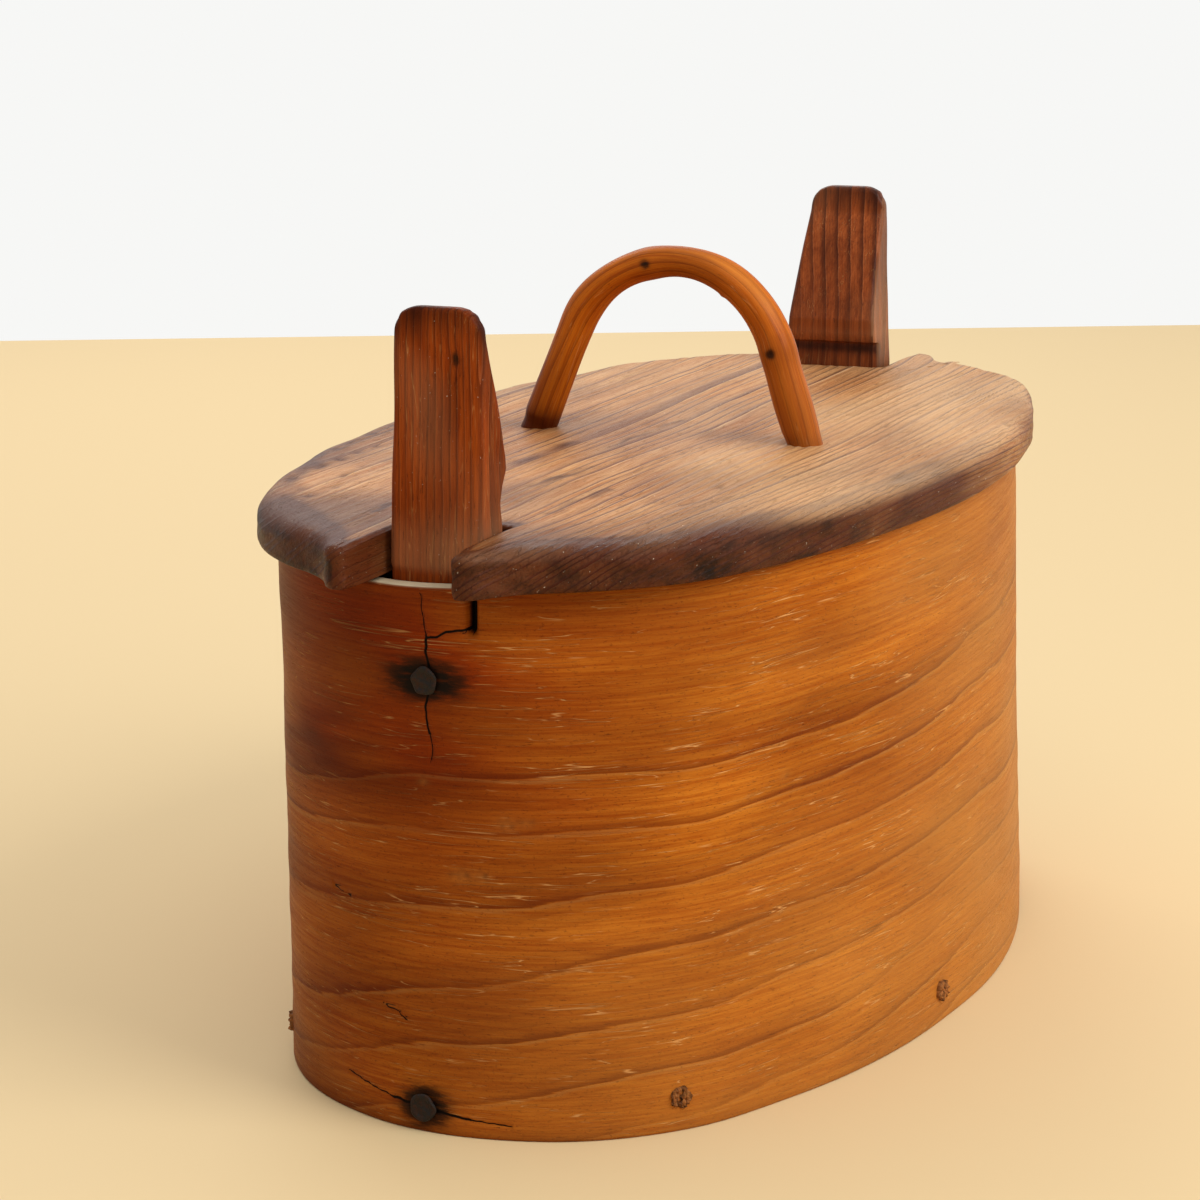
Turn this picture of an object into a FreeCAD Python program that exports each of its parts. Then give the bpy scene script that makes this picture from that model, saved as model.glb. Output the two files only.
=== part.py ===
"""A lidded bentwood box: an oval band on a pegged board, two springy end posts, a lid with a stick handle.

Millimetres. The base stands on Z = 0, X runs along the oval, Y across it, and the near post is at -X.
The band, its lacing, the bottom board, the pegs and the low nails stay put. Each post leans out on its low
nail and takes its high nail with it, and the lid lifts off with its handle once the posts let it past.
"""
import FreeCAD
import Part

import math
import os
import re

import Sketcher

SIZES = {
    # the band: a thin bent board, a little wider at the base than at the rim
    "band_length": 265, "band_width": 160, "band_end_radius": 64,
    "rim_length": 266, "rim_width": 150, "rim_end_radius": 62,
    "band_height": 124, "band_wall": 5,
    # the lap on the back, where the two ends of the band are laced together
    "lap_length": 54, "lap_rise": 1.8,
    "lace_offset": 16, "lace_width": 3, "lace_thick": 1.2, "lace_first": 22, "lace_pitch": 10,
    "lace_fit": 0.1,
    # the bottom board and the pegs that hold it
    "board_thickness": 14, "board_fit": 0.7, "foot_fit": 0.4,
    "peg_radius": 2.7, "peg_tip_radius": 2.2, "peg_length": 21, "peg_proud": 1.2, "peg_level": 8,
    "peg_fit": 0.05,
    "peg_end_turn": 49, "peg_back_turn": 60, "peg_side_turn": 6, "peg_rear_turn": 13,
    # the end posts, with a lip that holds the lid down
    "post_height": 182.4, "post_raise": 1, "post_gap": 0.25, "post_lean": 1.8, "post_foot_shift": 4.2,
    "post_thinning": 0.5,
    "post_stem": 11.5, "post_neck": 10.5, "post_nose": 14, "post_shoulder": 11.3, "post_crown": 4,
    "neck_level": 139.5, "neck_run": 8, "near_nose_low": 144.5, "far_nose_low": 141, "nose_high": 148.5,
    "shoulder_level": 156, "crown_drop": 6.9, "post_taper_level": 138,
    "near_post_width": 22, "near_post_top": 19.6, "far_post_width": 26.2, "far_post_top": 20.2,
    "post_corner": 6, "far_post_shift": 2.4,
    # iron nails: one high and one low through each end of the band
    "nail_radius": 1.3, "nail_length": 15, "nail_head_radius": 3.9, "nail_head_height": 1.6, "nail_tip": 4,
    "high_nail_level": 103, "low_nail_level": 6.5, "low_nail_length": 30, "low_nail_head_radius": 3.1,
    "nail_point": 0.2, "nail_crown_share": 0.5, "nail_rim_share": 0.4, "nail_seat": 0.3, "nail_play": 0.3,
    "nail_fit": 0.05, "high_nail_shift": 0.5,
    # the lid, notched at both ends for the posts
    "lid_length": 281, "lid_width": 157.5, "lid_end_radius": 65, "lid_thickness": 10, "lid_seat": 0.2,
    "lid_shift": 1, "lid_edge_round": 3.2, "lid_under_round": 1.2,
    "notch_side_play": 1, "notch_near_play": 2.4, "notch_far_play": 0.3,
    # the horns: the lid runs on past its oval at both sides of each post, between two hollow curves
    "near_horn_reach": 6.5, "far_horn_reach": 3.5, "horn_width": 5.5, "horn_root": 28, "horn_hollow": 25,
    "horn_flare": 9, "horn_round": 1.5,
    # the handle: a bent stick whose ends go through the lid and are wedged below it
    "handle_shift": 0, "stick_radius": 4.3, "bend_radius": 28.2, "stick_fit": 0.05, "stick_below": 3,
    "left_foot": 36.5, "left_slope": 25.5, "right_foot": 34.5, "right_slope": 16, "knot_radius": 4.9,
    "knot_low_turn": 72, "knot_high_turn": 158,
    "wedge_width": 6.6, "wedge_height": 8, "wedge_thick": 1.8, "wedge_thin": 0.8, "wedge_proud": 1,
}
LACE_SLITS = 10

doc = FreeCAD.newDocument("Tine")
sheet = doc.addObject("Spreadsheet::Sheet", "Dimensions")
for row, (word, size) in enumerate(SIZES.items(), start=1):
    sheet.set(f"A{row}", word)
    sheet.set(f"B{row}", str(size))
    sheet.setAlias(f"B{row}", word)
doc.recompute()


def sized(formula):
    """The formula with the name of every size pointing at its cell."""
    words = re.compile(r"[a-z_]+")
    return words.sub(lambda word: ("Dimensions." if word[0] in SIZES else "") + word[0], str(formula))


def measure(formula):
    """What the formula comes to, in millimetres or degrees."""
    return float(sheet.evalExpression(sized(formula)))


def bind(thing, **formulas):
    """Tie properties of a feature to formulas over the sizes."""
    for name, formula in formulas.items():
        thing.setExpression(name, sized(formula))
    return thing


def place(thing, along="0", across="0", up="0", yaw="0", pitch="0", roll="0"):
    """Put a feature at a point, turned by yaw, pitch and roll."""
    formula = f"placement(vector({along}; {across}; {up}); rotation({yaw}; {pitch}; {roll}))"
    thing.setExpression("Placement", sized(formula))
    return thing


def add(kind, name, **formulas):
    """A Part feature with its sizes bound."""
    return bind(doc.addObject(f"Part::{kind}", name), **formulas)


def cut(name, base, *tools):
    """The base with the tools taken out of it."""
    result = doc.addObject("Part::Cut", name)
    result.Base = base
    result.Tool = tools[0] if len(tools) == 1 else fuse(f"{name}_tools", *tools)
    return result


def fuse(name, *pieces):
    """Several shapes joined into one."""
    result = doc.addObject("Part::MultiFuse", name)
    result.Shapes = list(pieces)
    return result


def common(name, first, second):
    """What two shapes share."""
    result = doc.addObject("Part::MultiCommon", name)
    result.Shapes = [first, second]
    return result


def extrude(name, profile, length, both_ways=False):
    """A closed sketch pushed along its own normal."""
    result = add("Extrusion", name, LengthFwd=length)
    result.Base = profile
    result.DirMode = "Normal"
    result.Solid = True
    result.Symmetric = both_ways
    return result


def hold(sketch, kind, geometry, point, formula):
    """Fix one coordinate, length or radius of a sketch to a formula."""
    if kind.startswith("Distance"):
        constraint = Sketcher.Constraint(kind, -1, 1, geometry, point, measure(formula))
    else:
        constraint = Sketcher.Constraint(kind, geometry, measure(formula))
    index = sketch.addConstraint(constraint)
    sketch.setExpression(f"Constraints[{index}]", sized(formula))


def polygon(name, points):
    """A closed outline of straight edges whose corners are bound to formulas."""
    sketch = doc.addObject("Sketcher::SketchObject", name)
    corners = [FreeCAD.Vector(measure(x), measure(y), 0) for x, y in points]
    count = len(corners)
    for index, corner in enumerate(corners):
        sketch.addGeometry(Part.LineSegment(corner, corners[(index + 1) % count]), False)
    for index in range(count):
        sketch.addConstraint(Sketcher.Constraint("Coincident", index, 2, (index + 1) % count, 1))
    for index, (x, y) in enumerate(points):
        hold(sketch, "DistanceX", index, 1, x)
        hold(sketch, "DistanceY", index, 1, y)
    return sketch


def side_radius(length, width, end_radius):
    """The radius of an oval's long sides: a formula over its length, width and end radius."""
    half_length, half_width = f"(({length}) / 2)", f"(({width}) / 2)"
    end = f"({end_radius})"
    spread = f"(({half_length} - {end})^2 + {half_width}^2 - {end}^2)"
    return f"({spread} / (2 * ({half_width} - {end})))"


def draw_oval(sketch, length, width, end_radius):
    """An oval of four tangent arcs: two ends and two long sides."""
    long_radius = side_radius(length, width, end_radius)
    centre, end = measure(f"({length}) / 2 - ({end_radius})"), measure(end_radius)
    side = measure(long_radius)
    drop = side - measure(f"({width}) / 2")
    turn = math.atan2(drop, centre)
    normal = FreeCAD.Vector(0, 0, 1)
    arcs = [
        ((centre, 0), end, -turn, turn),
        ((0, -drop), side, turn, math.pi - turn),
        ((-centre, 0), end, math.pi - turn, math.pi + turn),
        ((0, drop), side, math.pi + turn, 2 * math.pi - turn),
    ]
    for (x, y), radius, start, stop in arcs:
        circle = Part.Circle(FreeCAD.Vector(x, y, 0), normal, radius)
        sketch.addGeometry(Part.ArcOfCircle(circle, start, stop), False)
    for index in range(4):
        sketch.addConstraint(Sketcher.Constraint("Tangent", index, 2, (index + 1) % 4, 1))
    sketch.addConstraint(Sketcher.Constraint("PointOnObject", 0, 3, -1))
    sketch.addConstraint(Sketcher.Constraint("Symmetric", 0, 3, 2, 3, -1, 1))
    sketch.addConstraint(Sketcher.Constraint("Equal", 0, 2))
    sketch.addConstraint(Sketcher.Constraint("Equal", 1, 3))
    hold(sketch, "DistanceX", 0, 3, f"({length}) / 2 - ({end_radius})")
    hold(sketch, "Radius", 0, 0, end_radius)
    hold(sketch, "Radius", 1, 0, long_radius)
    return sketch


def oval_loft(name, inset, shift_x="0", shift_y="0"):
    """A solid that fills the band's outer form from base to rim, drawn in by the inset."""
    levels = []
    for level, edge, height in (("base", "band", "0"), ("rim", "rim", "band_height")):
        sketch = doc.addObject("Sketcher::SketchObject", f"{name}_{level}")
        place(sketch, shift_x, shift_y, height)
        draw_oval(sketch, f"{edge}_length - 2 * ({inset})", f"{edge}_width - 2 * ({inset})",
                  f"{edge}_end_radius - ({inset})")
        levels.append(sketch)
    loft = doc.addObject("Part::Loft", name)
    loft.Sections = levels
    loft.Solid = True
    loft.Ruled = True
    return loft


BAND_SIDE = side_radius("band_length", "band_width", "band_end_radius")
END_CENTRE = "(band_length / 2 - band_end_radius)"
SIDE_CENTRE = f"(band_width / 2 - {BAND_SIDE})"
SLOPE = "atan((band_width - rim_width) / 2 / band_height)"


def peg_spots():
    """Each peg's name, the centre and radius of its arc of the band, and the turn of its way out."""
    spots = []
    ends = (("near", -1), ("far", 1))
    sides = (("front", -1, "peg_end_turn"), ("back", 1, "peg_back_turn"))
    for end, way in ends:
        for side, across, turn in sides:
            outward = f"({90 - 90 * way} + {way * across} * {turn})"
            spots.append((f"peg_{side}_{end}", f"{way} * {END_CENTRE}", "0", "band_end_radius", outward))
    spots.append(("peg_front_middle", "0", f"-1 * {SIDE_CENTRE}", BAND_SIDE, "(-90 - peg_side_turn)"))
    spots.append(("peg_back_middle", "0", SIDE_CENTRE, BAND_SIDE, "(90 - peg_rear_turn)"))
    return spots


def round_pegs(suffix, clearance):
    """Tapered pegs that go straight in through the band, grown by the clearance when they stand for holes."""
    pegs = []
    for name, centre_x, centre_y, radius, outward in peg_spots():
        peg = add("Cone", name + suffix, Radius1=f"peg_radius + {clearance}",
                  Radius2=f"peg_tip_radius + {clearance}", Height=f"peg_length + {clearance}")
        reach = f"({radius} + peg_proud)"
        along, across = f"{centre_x} + {reach} * cos({outward})", f"{centre_y} + {reach} * sin({outward})"
        place(peg, along, across, "peg_level", yaw=f"{outward} + 180", pitch="90")
        pegs.append(peg)
    return pegs


def lace_rows():
    """Each row of lacing: its name, its place along the band, and how far the lap lifts the face there."""
    rows = []
    for name, way in (("near", -1), ("far", 1)):
        spot = f"({way} * lace_offset)"
        rows.append((f"seam_lacing_{name}", spot, f"(lap_rise * (0.5 - {spot} / lap_length))"))
    return rows


def strip(name, spot, level, depth, start, length, clearance="0"):
    """A flat strip on the back of the band: its depth runs outward from a level, its length up the slope."""
    width = f"(lace_width + 2 * {clearance})"
    piece = add("Box", name, Length=width, Width=depth, Height=length)
    face = f"(sqrt({BAND_SIDE}^2 - {spot}^2) + {SIDE_CENTRE})"
    turn = f"(-1 * asin({spot} / {BAND_SIDE}))"
    outward = f"(({level}) * cos({SLOPE}) - ({start}) * sin({SLOPE}))"
    along = f"{spot} - {width} / 2 * cos({turn}) - {outward} * sin({turn})"
    across = f"{face} - {width} / 2 * sin({turn}) + {outward} * cos({turn})"
    up = f"({start}) * cos({SLOPE}) + ({level}) * sin({SLOPE})"
    return place(piece, along, across, up, yaw=turn, roll=SLOPE)


def lace_height(index):
    """How far up the band a slit for the lacing is."""
    return f"lace_first + {index} * lace_pitch - lace_thick / 2"


def lace_slits():
    """The slits for the lacing, through the lap."""
    slits = []
    for name, spot, rise in lace_rows():
        for index in range(LACE_SLITS):
            depth = f"band_wall + {rise} + 4 * lace_thick"
            slits.append(strip(f"{name}_slit", spot, "-1 * band_wall - 2 * lace_thick", depth,
                               f"{lace_height(index)} - lace_fit", "lace_thick + 2 * lace_fit", "lace_fit"))
    return slits


def lacing():
    """One split root in each row, run through the slits: its straps lie outside and inside by turns."""
    rows = []
    for name, spot, rise in lace_rows():
        inside = "(-1 * band_wall - lace_thick - lace_fit)"
        outside = f"({rise} + lace_fit)"
        pieces = []
        for index in range(LACE_SLITS):
            through = f"{outside} + lace_thick - {inside}"
            pieces.append(strip(f"{name}_leg", spot, inside, through, lace_height(index), "lace_thick"))
        for index in range(LACE_SLITS - 1):
            level = inside if index % 2 else outside
            pieces.append(strip(f"{name}_strap", spot, level, "lace_thick", lace_height(index),
                                "lace_pitch + lace_thick"))
        rows.append((name, fuse(name, *pieces)))
    return rows


# The posts. Each is drawn at the origin with its outer face on X = 0, then leaned and set in its end.
POST_SPOTS = {
    "near": {"way": -1, "shift": "0", "width": "near_post_width", "top": "near_post_top"},
    "far": {"way": 1, "shift": "far_post_shift", "width": "far_post_width", "top": "far_post_top"},
}
POST_FACE = "(rim_length / 2 - band_wall - post_gap)"


def post_centre(end, level):
    """How far across the middle of a post lies at a level: it leans to the front as it rises."""
    return f"(post_foot_shift + {POST_SPOTS[end]['shift']} - ({level}) * tan(post_lean))"


def post_outline(end):
    """A post's side view: a straight stem, a neck at the lid, a nose that holds it, and a thin crown."""
    points = [
        ("0", "0"), ("post_stem", "0"), ("post_stem", "neck_level - neck_run - post_raise"),
        ("post_neck", "neck_level - post_raise"), ("post_nose", f"{end}_nose_low - post_raise"),
        ("post_nose", "nose_high - post_raise"), ("post_shoulder", "shoulder_level - post_raise"),
        ("post_crown", "post_height - crown_drop - post_raise"),
        ("post_crown - post_thinning", "post_height - post_raise"), ("0", "post_height - post_raise"),
    ]
    return place(polygon(f"{end}_post_side", points), roll="90")


def corner_edges(shape, direction, level):
    """The numbers of the straight edges that run one way and lie wholly above a level."""
    found = []
    for number, edge in enumerate(shape.Edges, start=1):
        first, last = edge.Vertexes[0].Point, edge.Vertexes[-1].Point
        run = last - first
        if edge.BoundBox.ZMin >= level and run.Length and abs(run.normalize().dot(direction)) > 0.999:
            found.append(number)
    return found


def fillet(name, base, numbers, radius):
    """Round the numbered edges of a feature by one named radius."""
    result = doc.addObject("Part::Fillet", name)
    result.Base = base
    result.Edges = [(number, measure(radius), measure(radius)) for number in numbers]
    return result


def post(end, band_space):
    """A wooden post, hollowed at its back to lie on the band, with holes for its two nails."""
    spot = POST_SPOTS[end]
    side = extrude(f"{end}_post_thickness", post_outline(end), "2 * far_post_width", both_ways=True)
    width, top = spot["width"], spot["top"]
    face_points = [
        (f"-{width} / 2", "0"), (f"{width} / 2", "0"), (f"{width} / 2", "post_taper_level - post_raise"),
        (f"{top} / 2", "post_height - post_raise"), (f"-{top} / 2", "post_height - post_raise"),
        (f"-{width} / 2", "post_taper_level - post_raise"),
    ]
    face = place(polygon(f"{end}_post_face", face_points), "-post_nose", yaw="90", roll="90")
    front = extrude(f"{end}_post_front", face, "3 * post_nose")
    blank = common(f"{end}_post_blank", side, front)
    doc.recompute()
    tops = corner_edges(blank.Shape, FreeCAD.Vector(1, 0, 0), measure("post_height - crown_drop"))
    rounded = fillet(f"{end}_post_rounded", blank, tops, "post_corner")
    way = spot["way"]
    place(rounded, f"{way} * {POST_FACE}", post_centre(end, "post_raise"), "post_raise",
          yaw=str(90 + 90 * way), roll=f"{-way} * post_lean")
    holes = [nail(f"{end}_{level}_nail_hole", end, level, "nail_play") for level in ("high", "low")]
    return cut(f"{end}_post", rounded, band_space, *holes)


def nail(name, end, level, clearance="0"):
    """An iron nail driven in through an end of the band; grown by a clearance, it stands for its own hole."""
    low = level == "low"
    length = "low_nail_length" if low else "nail_length"
    head = "low_nail_head_radius" if low else "nail_head_radius"
    shank = f"(nail_radius + {clearance})"
    points = [
        ("-nail_head_height", "0"), ("-nail_head_height", f"{head} * nail_crown_share"),
        ("-nail_head_height * nail_rim_share", head),
        ("0", head), ("0", shank), (f"{length} - nail_tip", shank), (f"{length} + {clearance}", "nail_point"),
        (f"{length} + {clearance}", "0"),
    ]
    body = doc.addObject("Part::Revolution", name)
    body.Source = polygon(f"{name}_profile", points)
    body.Axis = FreeCAD.Vector(1, 0, 0)
    body.Angle = 360
    body.Solid = True
    way = POST_SPOTS[end]["way"]
    height = f"{level}_nail_level"
    shift = "0" if low else "high_nail_shift"
    edge = f"((band_length - (band_length - rim_length) * {height} / band_height) / 2 + nail_seat)"
    across = f"{post_centre(end, height)} + {shift}"
    return place(body, f"{way} * {edge}", across, height, yaw=str(90 + 90 * way))


def side_band(holes):
    """The band with its lap, as one wall open above and below."""
    outer = oval_loft("band_outer", "0")
    lap = oval_loft("band_lap", "0", f"-{BAND_SIDE} * lap_rise / lap_length", "lap_rise / 2")
    strip = add("Box", "lap_strip", Length="lap_length", Width="band_width", Height="band_height")
    place(strip, "-lap_length / 2")
    blank = fuse("band_blank", outer, common("lap", lap, strip))
    return cut("side_band", blank, oval_loft("band_inner", "band_wall"), *holes)


def bottom_board(holes):
    """The oval board that closes the band below, notched at both ends for the feet of the posts."""
    body = doc.addObject("PartDesign::Body", "board_blank")
    floor = [plane for plane in body.Origin.OriginFeatures if plane.Role == "XY_Plane"][0]
    sketch = body.newObject("Sketcher::SketchObject", "board_outline")
    sketch.AttachmentSupport = [(floor, "")]
    sketch.MapMode = "FlatFace"
    inset = "(band_wall + board_fit)"
    draw_oval(sketch, f"band_length - 2 * {inset}", f"band_width - 2 * {inset}", f"band_end_radius - {inset}")
    pad = body.newObject("PartDesign::Pad", "board_pad")
    pad.Profile = sketch
    bind(pad, Length="board_thickness")
    notches = []
    for end, spot in POST_SPOTS.items():
        room = f"({spot['width']} + 2 * foot_fit)"
        reach = f"({POST_FACE} - post_stem - foot_fit)"
        notch = add("Box", f"{end}_foot_notch", Length="band_wall + post_nose",
                    Width=f"{room} / cos(post_lean)", Height="board_thickness")
        start = reach if spot["way"] > 0 else f"(-1 * {reach} - band_wall - post_nose)"
        middle = post_centre(end, "board_thickness / 2")
        notches.append(place(notch, start, f"{middle} - {room} / cos(post_lean) / 2"))
    return cut("bottom_board", body, *notches, *holes)


LID_LEVEL = "(band_height + lid_seat)"
LID_TOP = "(band_height + lid_seat + lid_thickness)"


def handle_side(side):
    """Which way a leg of the handle stands, and its foot and slope."""
    return (1, "left_foot", "left_slope") if side == "left" else (-1, "right_foot", "right_slope")


def leg_point(side, distance):
    """The point across and up on a leg's centre line, at a distance along it from the top face of the lid."""
    way, foot, slope = handle_side(side)
    return f"({way} * ({foot} - ({distance}) * sin({slope})))", f"({LID_TOP} + ({distance}) * cos({slope}))"


def bend_centre():
    """The centre of the arc that touches both legs, as formulas across and up."""
    # each leg's line is at the bend radius from the centre, which gives two equations in across and up
    turn_sum = "sin(left_slope + right_slope)"
    left = "(left_foot * cos(left_slope) - bend_radius)"
    right = "(right_foot * cos(right_slope) - bend_radius)"
    across = f"(({left} * sin(right_slope) - {right} * sin(left_slope)) / {turn_sum})"
    up = f"({LID_TOP} + ({left} * cos(right_slope) + {right} * cos(left_slope)) / {turn_sum})"
    return across, up


def handle_path():
    """The stick's centre line: a straight leg, one round bend and the other leg."""
    sketch = doc.addObject("Sketcher::SketchObject", "handle_path")
    place(sketch, "handle_shift", yaw="90", roll="90")
    below = "(-1 * (lid_thickness + stick_below) / cos({slope}))"
    starts = {side: leg_point(side, below.format(slope=handle_side(side)[2])) for side in ("left", "right")}
    centre = [measure(part) for part in bend_centre()]
    radius = measure("bend_radius")
    left, right = math.radians(measure("left_slope")), math.radians(measure("right_slope"))
    middle = FreeCAD.Vector(centre[0], centre[1], 0)
    touch = {
        "left": middle + FreeCAD.Vector(math.cos(left), math.sin(left), 0) * radius,
        "right": middle + FreeCAD.Vector(-math.cos(right), math.sin(right), 0) * radius,
    }
    foot = {side: FreeCAD.Vector(measure(starts[side][0]), measure(starts[side][1]), 0) for side in starts}
    circle = Part.Circle(middle, FreeCAD.Vector(0, 0, 1), radius)
    sketch.addGeometry(Part.LineSegment(foot["left"], touch["left"]), False)
    sketch.addGeometry(Part.ArcOfCircle(circle, left, math.pi - right), False)
    sketch.addGeometry(Part.LineSegment(touch["right"], foot["right"]), False)
    sketch.addConstraint(Sketcher.Constraint("Tangent", 0, 2, 1, 1))
    sketch.addConstraint(Sketcher.Constraint("Tangent", 1, 2, 2, 1))
    hold(sketch, "DistanceX", 0, 1, starts["left"][0])
    hold(sketch, "DistanceY", 0, 1, starts["left"][1])
    hold(sketch, "DistanceX", 2, 2, starts["right"][0])
    hold(sketch, "DistanceY", 2, 2, starts["right"][1])
    hold(sketch, "DistanceX", 1, 3, bend_centre()[0])
    hold(sketch, "DistanceY", 1, 3, bend_centre()[1])
    hold(sketch, "Radius", 1, 0, "bend_radius")
    return sketch, starts


def wedge(name, side, clearance="0"):
    """A thin wedge driven up into a foot of the handle; grown by a clearance, it is the slot for itself."""
    way, foot, slope = handle_side(side)
    width = f"(wedge_width / 2 + {clearance})"
    piece = add("Wedge", name, Xmin=f"-1 * {width}", Xmax=width, X2min=f"-1 * {width}", X2max=width,
                Zmin=f"-wedge_thick / 2 - {clearance}", Zmax=f"wedge_thick / 2 + {clearance}",
                Z2min=f"-wedge_thin / 2 - {clearance}", Z2max=f"wedge_thin / 2 + {clearance}",
                Ymin="0", Ymax=f"wedge_height + {clearance}")
    start = f"(-1 * (lid_thickness + stick_below) / cos({slope}) - wedge_proud)"
    across, up = leg_point(side, start)
    return place(piece, "handle_shift", across, up, roll=f"90 + {way} * {slope}")


def knot(name, turn):
    """A low swelling on the bend of the stick."""
    ball = add("Sphere", name, Radius="knot_radius")
    across, up = bend_centre()
    across, up = f"{across} + bend_radius * cos({turn})", f"{up} + bend_radius * sin({turn})"
    return place(ball, "handle_shift", across, up)


def handle():
    """The bent stick, with its knots and the slots for its wedges."""
    path, starts = handle_path()
    section = doc.addObject("Sketcher::SketchObject", "stick_section")
    circle = Part.Circle(FreeCAD.Vector(0, 0, 0), FreeCAD.Vector(0, 0, 1), measure("stick_radius"))
    section.addGeometry(circle)
    section.addConstraint(Sketcher.Constraint("Coincident", 0, 3, -1, 1))
    hold(section, "Radius", 0, 0, "stick_radius")
    place(section, "handle_shift", *starts["left"], roll="left_slope")
    doc.recompute()
    stick = doc.addObject("Part::Sweep", "stick")
    stick.Sections = [section]
    stick.Spine = (path, ["Edge1", "Edge2", "Edge3"])
    stick.Solid = True
    knots = [knot("knot_low", "knot_low_turn"), knot("knot_high", "knot_high_turn")]
    slots = [wedge(f"wedge_slot_{side}", side, "stick_fit") for side in ("left", "right")]
    return cut("handle", fuse("stick_with_knots", stick, *knots), *slots)


def rims(shape, level):
    """The numbers of a shape's edges that lie wholly above a level, and of those wholly below it."""
    above, below = [], []
    for number, edge in enumerate(shape.Edges, start=1):
        if edge.BoundBox.ZMin > level:
            above.append(number)
        elif edge.BoundBox.ZMax < level:
            below.append(number)
    return above, below


def rounded_slab(name, slab, over_round, under_round):
    """A slab of the lid's thickness with its upper and lower edges rounded."""
    doc.recompute()
    above, below = rims(slab.Shape, measure(f"{LID_LEVEL} + lid_thickness / 2"))
    rounded = fillet(name, slab, above, over_round)
    radius = measure(under_round)
    rounded.Edges = rounded.Edges + [(number, radius, radius) for number in below]
    return rounded


def notch_room(end):
    """The width of the lid's notch for a post, and how far across its middle lies."""
    middle = post_centre(end, f"{LID_LEVEL} + lid_thickness / 2")
    return f"({POST_SPOTS[end]['width']} + 2 * notch_side_play)", middle


def horns(end):
    """The two horns at one end of the lid, as one block that hollow curves narrow towards its tip."""
    way = POST_SPOTS[end]["way"]
    room, middle = notch_room(end)
    tip = f"(lid_length / 2 + {end}_horn_reach + {way} * lid_shift)"
    length = "lid_end_radius"
    block = add("Box", f"{end}_horn_block", Length=length, Width="2 * horn_root", Height="lid_thickness")
    start = f"{tip} - {length}" if way > 0 else f"-1 * {tip}"
    place(block, start, f"{middle} - horn_root", LID_LEVEL)
    hollows = []
    for side in (-1, 1):
        hollow = add("Cylinder", f"{end}_horn_hollow", Radius="horn_hollow", Height="lid_thickness")
        out = f"({room} / 2 + horn_width + sqrt(horn_hollow^2 - horn_flare^2))"
        along, across = f"{way} * ({tip} + horn_flare)", f"{middle} + {side} * {out}"
        hollows.append(place(hollow, along, across, LID_LEVEL))
    slab = cut(f"{end}_horn_slab", block, *hollows)
    return rounded_slab(f"{end}_horns", slab, "horn_round", "lid_under_round")


def lid_board():
    """The lid: an oval board with rounded edges, horns, a notch at each end and two holes for the handle."""
    outline = doc.addObject("Sketcher::SketchObject", "lid_outline")
    place(outline, "lid_shift", up=LID_LEVEL)
    draw_oval(outline, "lid_length", "lid_width", "lid_end_radius")
    oval = rounded_slab("lid_oval", extrude("lid_slab", outline, "lid_thickness"), "lid_edge_round",
                        "lid_under_round")
    tools = []
    for end, spot in POST_SPOTS.items():
        room, middle = notch_room(end)
        reach = f"({POST_FACE} - post_stem - notch_{end}_play)"
        notch = add("Box", f"{end}_lid_notch", Length="lid_length / 2", Width=room,
                    Height="2 * lid_thickness")
        start = reach if spot["way"] > 0 else f"(-1 * {reach} - lid_length / 2)"
        tools.append(place(notch, start, f"{middle} - {room} / 2", f"{LID_LEVEL} - lid_thickness / 2"))
    for side in ("left", "right"):
        way, foot, slope = handle_side(side)
        hole = add("Cylinder", f"{side}_foot_hole", Radius="stick_radius + stick_fit",
                   Height="4 * lid_thickness")
        across, up = leg_point(side, "-3 * lid_thickness")
        tools.append(place(hole, "handle_shift", across, up, roll=f"{way} * {slope}"))
    return cut("lid_board", fuse("lid_with_horns", oval, *[horns(end) for end in POST_SPOTS]), *tools)


def build():
    """Every piece of the box, by the name of its node."""
    pieces = dict(lacing())
    for peg in round_pegs("", "0"):
        pieces[peg.Name] = peg
    nail_holes = []
    for end in POST_SPOTS:
        for level in ("high", "low"):
            name = f"{end}_{'upper' if level == 'high' else 'lower'}_nail"
            pieces[name] = nail(name, end, level)
            play = "nail_play" if level == "high" else "nail_fit"
            nail_holes.append(nail(f"{name}_bore", end, level, play))
    peg_holes = round_pegs("_hole", "peg_fit")
    pieces["side_band"] = side_band([*lace_slits(), *peg_holes, *nail_holes])
    pieces["bottom_board"] = bottom_board([*peg_holes, *nail_holes])
    inside = oval_loft("band_room_inner", "band_wall + post_gap")
    ring = cut("band_space", oval_loft("band_room", "0"), inside)
    for end in POST_SPOTS:
        pieces[f"{end}_post"] = post(end, ring)
    pieces["lid_board"] = lid_board()
    pieces["handle"] = handle()
    for side in ("left", "right"):
        pieces[f"{side}_handle_wedge"] = wedge(f"{side}_handle_wedge", side)
    return pieces


def save(pieces):
    """Check every feature and write each piece to its own file."""
    doc.recompute()
    failed = [thing.Name for thing in doc.Objects if "Invalid" in thing.State or "Error" in thing.State]
    if failed:
        raise RuntimeError(f"features that failed: {failed}")
    os.makedirs("parts", exist_ok=True)
    for name, piece in pieces.items():
        piece.Label = name
        shape = piece.Shape
        if shape.isNull() or not shape.isValid() or not shape.Solids:
            raise RuntimeError(f"{name} has no valid solid")
        shape.exportStep(os.path.join("parts", f"{name}.step"))
        print(name, len(shape.Solids), round(shape.Volume), [round(size, 1) for size in (
            shape.BoundBox.XMin, shape.BoundBox.YMin, shape.BoundBox.ZMin,
            shape.BoundBox.XMax, shape.BoundBox.YMax, shape.BoundBox.ZMax)])


save(build())
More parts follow.
